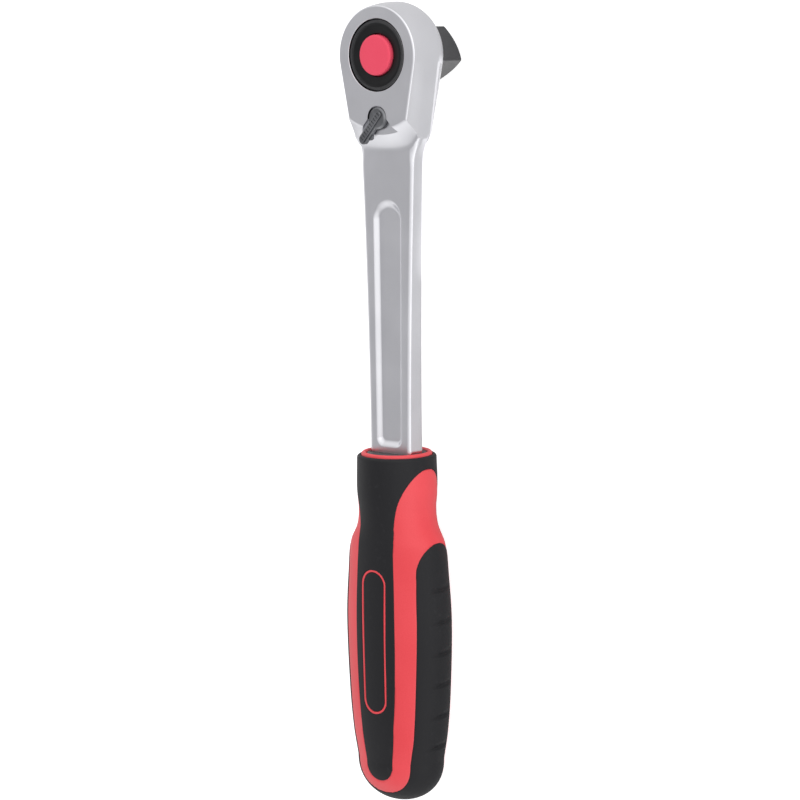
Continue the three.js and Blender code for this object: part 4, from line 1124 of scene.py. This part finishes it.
def tongue_half(x):
    if x < TONGUE_ROUND:
        return smooth_through(TONGUE_STATIONS, x)
    past = min(1.0, (x - TONGUE_ROUND) / (TONGUE_END - TONGUE_ROUND))
    return TONGUE_STATIONS[-1][1] * math.sqrt(max(0.0, 1 - past ** TONGUE_POWER))


def tongue_level(x):
    """Height of the handle's surface at the edge of a tongue."""
    wide, deep = handle_half(x)
    return deep * math.sqrt(max(0.0, 1 - (tongue_half(x) / wide) ** 2))


def window_edge(x):
    """Height in side view at which a soft tongue ends and the red begins."""
    if x <= WINDOW_START:
        return 0.0
    full = tongue_level(x)
    before = max(0.0, WINDOW_START + WINDOW_ARCH - x) / WINDOW_ARCH
    return full * math.sqrt(max(0.0, 1 - before ** WINDOW_POWER))


def saddle_edge(x):
    """Height in side view at which a side grip ends and the red begins."""
    arch_end = SADDLE_START + SADDLE_ARCH
    if x <= SADDLE_START:
        return 0.0
    if x < arch_end:
        return SADDLE_HEAD * math.sqrt(max(0.0, 1 - ((arch_end - x) / SADDLE_ARCH) ** SADDLE_POWER))
    return smooth_through(SADDLE_STATIONS, x)


def into_arch(x, z, start, length, half, power):
    """How far a point of the side view is inside a round-topped arch, below 0 outside it."""
    along = max(0.0, start + length - x) / length
    up = z / half
    slope = math.hypot(power * along ** (power - 1) / length, 2 * up / half)
    return (1 - along ** power - up ** 2) / max(slope, 1e-3)


def inside_sleeve(x, y, z):
    """How far a point of the surface is inside the soft collar or a tongue, below 0 on the red."""
    arch_end = WINDOW_START + WINDOW_ARCH
    if x < arch_end:
        return -into_arch(x, z, WINDOW_START, WINDOW_ARCH, tongue_level(x), WINDOW_POWER)
    if x < TONGUE_ROUND:
        return tongue_half(x) - abs(y)
    half = TONGUE_STATIONS[-1][1]
    length = TONGUE_END - TONGUE_ROUND
    along = max(0.0, x - TONGUE_ROUND) / length
    across = y / half
    slope = math.hypot(TONGUE_POWER * along ** (TONGUE_POWER - 1) / length, 2 * across / half)
    return (1 - along ** TONGUE_POWER - across ** 2) / max(slope, 1e-3)


def inside_saddle(x, z):
    if x < SADDLE_START + SADDLE_ARCH:
        return into_arch(x, z, SADDLE_START, SADDLE_ARCH, SADDLE_HEAD, SADDLE_POWER)
    return saddle_edge(x) - abs(z)


def inside_plate(x, y):
    """How far a point seen from the front is inside the capsule of the name plate."""
    head = PLATE_START + PLATE_HEAD_HALF
    tail = PLATE_START + PLATE_LENGTH - PLATE_TAIL_HALF
    share = min(1.0, max(0.0, (x - head) / (tail - head)))
    return mix(PLATE_HEAD_HALF, PLATE_TAIL_HALF, share) - math.hypot(x - mix(head, tail, share), y)


def roll(depth, radius):
    """How far a rounded edge has dropped at that distance from the edge of a soft shot."""
    out = 1 - min(1.0, max(0.0, depth / radius))
    return radius * (1 - math.sqrt(max(0.0, 1 - out ** 2)))


def spread(v):
    """From -1 to 1 with the points closer together at both ends."""
    return math.sin((v - 0.5) * math.pi)


def red_shell():
    """The red shot: its lip, the bands that show, and what lies sunk under the soft shots."""
    mouth_rows = len(MOUTH_PROFILE)
    rows = 190
    total = rows + mouth_rows
    around = 176
    start = MOUTH_PROFILE[-1][0]

    def point(u, v):
        angle = v * FULL_TURN
        step = round(u * total)
        if step < mouth_rows:
            x, radius = MOUTH_PROFILE[step]
            return Vector((x, radius * math.cos(angle), radius * math.sin(angle)))
        if step == total:
            return Vector((BUTT - RED_BUTT_SUNK, 0, 0))
        x = handle_place((step - mouth_rows) / rows)
        wide, deep = handle_half(x)
        y = wide * math.cos(angle)
        z = deep * math.sin(angle)
        covered = max(inside_sleeve(x, y, z), inside_saddle(x, z))
        sunk = 1.0 if x < WINDOW_START else smooth(0.15, 0.7, covered)
        return on_handle(max(x, start), angle, -mix(RED_SUNK, RED_UNDER, sunk))

    bm = outward(draped(total, around, point))
    return fit(
        "handle_shell_form", bm, RED, "body", ["handle_shell"], sharp=50, lift=SHANK_LIFT,
    )


def grip_sleeve():
    """The soft collar with its two tongues, sunk where the plates lie."""
    rows = 260
    across = 72
    places = [sleeve_place(k / rows) for k in range(rows + 1)]

    def half(side):
        def point(u, v):
            x = places[round(u * rows)]
            wide, deep = handle_half(x)
            low = math.asin(min(1.0, window_edge(x) / deep)) if x < TONGUE_END else math.pi / 2
            angle = math.pi / 2 - spread(v) * (math.pi / 2 - low)
            y = wide * math.cos(angle)
            z = deep * math.sin(angle)
            depth = max(0.0, inside_sleeve(x, y, z))
            lift = -roll(depth, SOFT_ROLL) - roll(x - COLLAR, COLLAR_ROLL)
            lift -= PLATE_WELL * smooth(0.1, 0.45, inside_plate(x, y))
            return on_handle(x, side * angle, lift)

        return draped(rows, across, point)

    return fit(
        "grip_sleeve_form", merged(half(1), half(-1)), SOFT, "body", ["grip_sleeve"], 60,
        wall=SOFT_THICK, lift=SHANK_LIFT,
    )


def groove_drop(x, z):
    """Depth of the nearest groove: a long ramp down towards the butt, then a short step up."""
    place = x - GROOVE_FIRST - GROOVE_SLANT * z
    k = min(GROOVE_COUNT - 1, max(0, round(place / GROOVE_PITCH)))
    past = place - k * GROOVE_PITCH
    cut = 1 - (smooth(0, GROOVE_STEP, past) if past > 0 else smooth(0, GROOVE_RAMP, -past))
    return GROOVE_DEPTH * cut * (1 - smooth(GROOVE_FULL_HALF, GROOVE_END_HALF, abs(z)))


def grip_saddle():
    """The grooved side grips, which meet at the butt."""
    rows = 300
    across = 48
    places = [saddle_place(k / rows) for k in range(rows + 1)]

    def half(side):
        def point(u, v):
            x = places[round(u * rows)]
            if x > BUTT - 1e-3:
                return Vector((BUTT, 0, 0))
            _, deep = handle_half(x)
            angle = spread(v) * math.asin(min(1.0, saddle_edge(x) / deep))
            z = deep * math.sin(angle)
            depth = max(0.0, inside_saddle(x, z))
            lift = -roll(depth, SOFT_ROLL) - groove_drop(x, z)
            return on_handle(x, angle if side > 0 else math.pi - angle, lift)

        return draped(rows, across, point)

    return fit(
        "grip_saddle_form", merged(half(1), half(-1)), SOFT, "body", ["grip_saddle"], 60,
        wall=SOFT_THICK, lift=SHANK_LIFT,
    )


def front_angle(x, y):
    wide, _ = handle_half(x)
    return math.acos(max(-1.0, min(1.0, y / wide)))


def plate_line(name, side):
    """The red line round the name plate."""
    end_steps = 40
    side_steps = 24
    across = 8

    def ring(inset):
        """The capsule, drawn in by the inset, with points along its straight sides too."""
        loop = capsule(
            PLATE_START + inset, PLATE_LENGTH - 2 * inset, PLATE_HEAD_HALF - inset, PLATE_TAIL_HALF - inset,
            end_steps,
        )
        turn = len(loop) // 2
        head = loop[:turn]
        tail = loop[turn:]
        shares = [k / side_steps for k in range(1, side_steps)]
        low = [(mix(head[-1][0], tail[0][0], t), mix(head[-1][1], tail[0][1], t)) for t in shares]
        high = [(mix(tail[-1][0], head[0][0], t), mix(tail[-1][1], head[0][1], t)) for t in shares]
        return head + low + tail + high

    outer = ring(0)
    inner = ring(PLATE_LINE)
    count = len(outer)

    def point(u, v):
        k = round(u * count) % count
        x = mix(outer[k][0], inner[k][0], v)
        y = mix(outer[k][1], inner[k][1], v)
        edge = PLATE_LINE * min(v, 1 - v)
        skirt = LINE_SKIRT if v in (0, 1) else 0
        return on_handle(x, side * front_angle(x, y), -LINE_SUNK - roll(edge, LINE_ROLL) - skirt)

    bm = outward(draped(count, across, point))
    return fit(name, bm, RED, "body", [], sharp=60, wall=LINE_THICK, lift=SHANK_LIFT)


def name_plate(name, side, node):
    """The bare soft field inside the red line."""
    inset = PLATE_LINE + PLATE_GAP
    start = PLATE_START + inset
    end = PLATE_START + PLATE_LENGTH - inset
    head = start + PLATE_HEAD_HALF - PLATE_LINE
    tail = end - PLATE_TAIL_HALF + PLATE_LINE
    rows = 150
    across = 28

    def point(u, v):
        x = mix(start, end, (1 + spread(u)) / 2)
        share = min(1.0, max(0.0, (x - head) / (tail - head)))
        radius = mix(PLATE_HEAD_HALF, PLATE_TAIL_HALF, share) - inset
        past = x - mix(head, tail, share)
        half = math.sqrt(max(0.0, radius ** 2 - past ** 2))
        y = spread(v) * half
        depth = radius - math.hypot(past, y)
        return on_handle(x, side * front_angle(x, y), -PLATE_SUNK - roll(depth, PLATE_ROLL))

    bm = outward(draped(rows, across, point))
    return fit(name, bm, SOFT, "body", [node], sharp=60, wall=PLATE_THICK, lift=SHANK_LIFT)


head_and_shank()
drive()
bezel()
button()
ball()
cover()
cover_ring()
lever()
red_shell()
grip_sleeve()
grip_saddle()
plate_line("plate_line_front", 1)
plate_line("plate_line_back", -1)
name_plate("name_plate_front_form", 1, "name_plate_front")
name_plate("name_plate_back_form", -1, "name_plate_back")

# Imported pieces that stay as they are, inside the tool
INNER_FINISHES = {
    "drive_seal": BEZEL,
    "release_pin": BRIGHT,
    "lever_snap_ring": SPRING,
    "pawl_plunger": BRIGHT,
    "pawl": DARK,
    "tang_sleeve": BEZEL,
}
for node, finish in INNER_FINISHES.items():
    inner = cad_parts[node]
    inner.data.materials.clear()
    inner.data.materials.append(finish)


def squeezed_coil(node):
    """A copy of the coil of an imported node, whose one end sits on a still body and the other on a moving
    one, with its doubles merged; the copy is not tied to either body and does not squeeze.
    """
    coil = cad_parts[node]
    bm = bmesh.new()
    bm.from_mesh(coil.data)
    bm.transform(coil.matrix_world)
    bmesh.ops.remove_doubles(bm, verts=bm.verts, dist=1e-6)
    piece = loose_object(bm, f"{node}_form")
    piece.data.materials.append(SPRING)
    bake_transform(piece)
    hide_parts(node)


squeezed_coil("release_spring")
squeezed_coil("pawl_spring")


# Stage


FLOOR_SIZE = 6.0
FLOOR_GAP = 0.0006
FLOOR_RISE = 12.6
FLOOR_RUN = 178.0
CAMERA_GLOW = 0.75
METAL_GLOW = 0.04
# A patch of floor under the neck that glows only in the chrome's reflections: a painted reflection
PAINTED_REFLECTION_GLOW = 0.48
PAINTED_REFLECTION_START = 0.002
PAINTED_REFLECTION_END = 0.07
PAINTED_REFLECTION_HALF = 0.025
PAINTED_REFLECTION_BLUR = 0.003
ROOM_STRENGTH = 1.12
ROOM_LEAN = 0.5
ROOM_BOTTOM = -0.5
ROOM_SPAN = 1.5
# Grey of the room from below to overhead
ROOM_STOPS = [
    (0.0, (1.5, 1.5, 1.5, 1)), (0.2, (1.45, 1.45, 1.45, 1)), (0.34, (1, 1, 1, 1)),
    (0.53, (0.96, 0.96, 0.96, 1)), (0.77, (0.47, 0.47, 0.48, 1)), (1.0, (0.38, 0.38, 0.39, 1)),
]
WHITE = (1, 1, 1, 1)
BLACK = (0, 0, 0, 1)
LAMP_AIM = (0.1, 0, 0.02)
CAMERA_PLACE = (-0.0001, 0.4949, 0.6122)
CAMERA_FORWARD = (0.1374, -0.6375, -0.7581)
CAMERA_RIGHT = (0, 0.7654, -0.6436)
CAMERA_LEAN = math.radians(-0.82)
CAMERA_LENS = 112.11
CAMERA_SENSOR = 36.0


def background_glow(place):
    """White added to the floor for the camera and glass, and for metal, with a painted reflection: a patch
    under the neck that glows only for metal, so the chrome above it shows white there.
    """
    path = place.node("ShaderNodeLightPath").socket.node
    rays = ("Is Camera Ray", "Is Glossy Ray", "Is Transmission Ray")
    seen, metal, glass = [Flow(place.tree, path.outputs[name]) for name in rays]
    x, y = [place.node("ShaderNodeSeparateXYZ", None, {"Vector": place}, axis) for axis in "XY"]
    # Mask of the painted reflection: a patch of floor under the neck that only metal sees
    along = x.between(PAINTED_REFLECTION_START - PAINTED_REFLECTION_BLUR, PAINTED_REFLECTION_START + PAINTED_REFLECTION_BLUR)
    along = along - x.between(PAINTED_REFLECTION_END - PAINTED_REFLECTION_BLUR, PAINTED_REFLECTION_END + PAINTED_REFLECTION_BLUR)
    across = 1 - y.maths("ABSOLUTE", y).between(PAINTED_REFLECTION_HALF - PAINTED_REFLECTION_BLUR, PAINTED_REFLECTION_HALF + PAINTED_REFLECTION_BLUR)
    painted_reflection = along * across * PAINTED_REFLECTION_GLOW
    return seen.maths("MAXIMUM", seen, glass) * CAMERA_GLOW + metal * (painted_reflection + METAL_GLOW)


def floor():
    """A pale floor that touches the drive's end and the underside of the handle."""
    bm = bmesh.new()
    bmesh.ops.create_grid(bm, x_segments=1, y_segments=1, size=FLOOR_SIZE)
    tilt = math.atan2(FLOOR_RISE, FLOOR_RUN)
    bm.transform(Matrix.Translation((0, 0, -FLOOR_GAP)) @ Matrix.Rotation(-tilt, 4, "Y"))
    made = loose_object(bm, "floor")
    material, shader, place = new_finish("floor_white")
    glow = background_glow(place).blend(BLACK, WHITE)
    feed(
        shader, place,
        Base_Color=paint(230, 230, 230),
        Roughness=0.9,
        Emission_Strength=1.0,
        Emission_Color=glow,
    )
    made.data.materials.append(material)


def lamp(name, place, size, power):
    light = bpy.data.lights.new(name, "AREA")
    light.shape = "DISK"
    light.size = size
    light.energy = power
    made = bpy.data.objects.new(name, light)
    made.location = place
    made.rotation_euler = (Vector(LAMP_AIM) - Vector(place)).to_track_quat("-Z", "Y").to_euler()
    bpy.context.scene.collection.objects.link(made)


def surroundings():
    """White to the camera. To the tool, a pale room that is brightest below and greyer overhead."""
    world = bpy.data.worlds.new("studio")
    world.use_nodes = True
    tree = world.node_tree
    tree.nodes.clear()
    start = Flow(tree)
    path = start.node("ShaderNodeLightPath").socket.node
    seen = Flow(tree, path.outputs["Is Camera Ray"])
    sky = start.node("ShaderNodeTexCoord", None, None, "Generated")
    height = start.node("ShaderNodeSeparateXYZ", None, {"Vector": sky}, "Z")
    side = start.node("ShaderNodeSeparateXYZ", None, {"Vector": sky}, "Y")
    share = (height - side.maths("MAXIMUM", side, 0.0) * ROOM_LEAN - ROOM_BOTTOM) * (1 / ROOM_SPAN)
    room = start.node("ShaderNodeValToRGB", {"stops": ROOM_STOPS}, {"Fac": share}, "Color")
    glow = start.node("ShaderNodeBackground", None, {"Color": room, "Strength": ROOM_STRENGTH}, "Background")
    white = start.node("ShaderNodeBackground", None, {"Color": WHITE, "Strength": 1.0}, "Background")
    both = start.node("ShaderNodeMixShader", None, {0: seen, 1: glow, 2: white})
    start.node("ShaderNodeOutputWorld", None, {"Surface": both})
    bpy.context.scene.world = world


def camera():
    data = bpy.data.cameras.new("camera")
    data.sensor_fit = "HORIZONTAL"
    data.sensor_width = CAMERA_SENSOR
    data.lens = CAMERA_LENS
    forward = Vector(CAMERA_FORWARD).normalized()
    right = Vector(CAMERA_RIGHT).normalized()
    up = right.cross(forward)
    level_right = right * math.cos(CAMERA_LEAN) + up * math.sin(CAMERA_LEAN)
    level_up = up * math.cos(CAMERA_LEAN) - right * math.sin(CAMERA_LEAN)
    turn = Matrix((level_right, level_up, -forward)).transposed().to_4x4()
    made = bpy.data.objects.new("camera", data)
    made.matrix_world = Matrix.Translation(CAMERA_PLACE) @ turn
    bpy.context.scene.collection.objects.link(made)
    bpy.context.scene.camera = made


floor()
lamp("key", (0.95, -0.3, 0.62), 0.9, 0.6)
lamp("fill", (-0.6, 0.3, 1.0), 2.4, 7)
surroundings()
camera()
bpy.context.scene.view_settings.view_transform = "Standard"
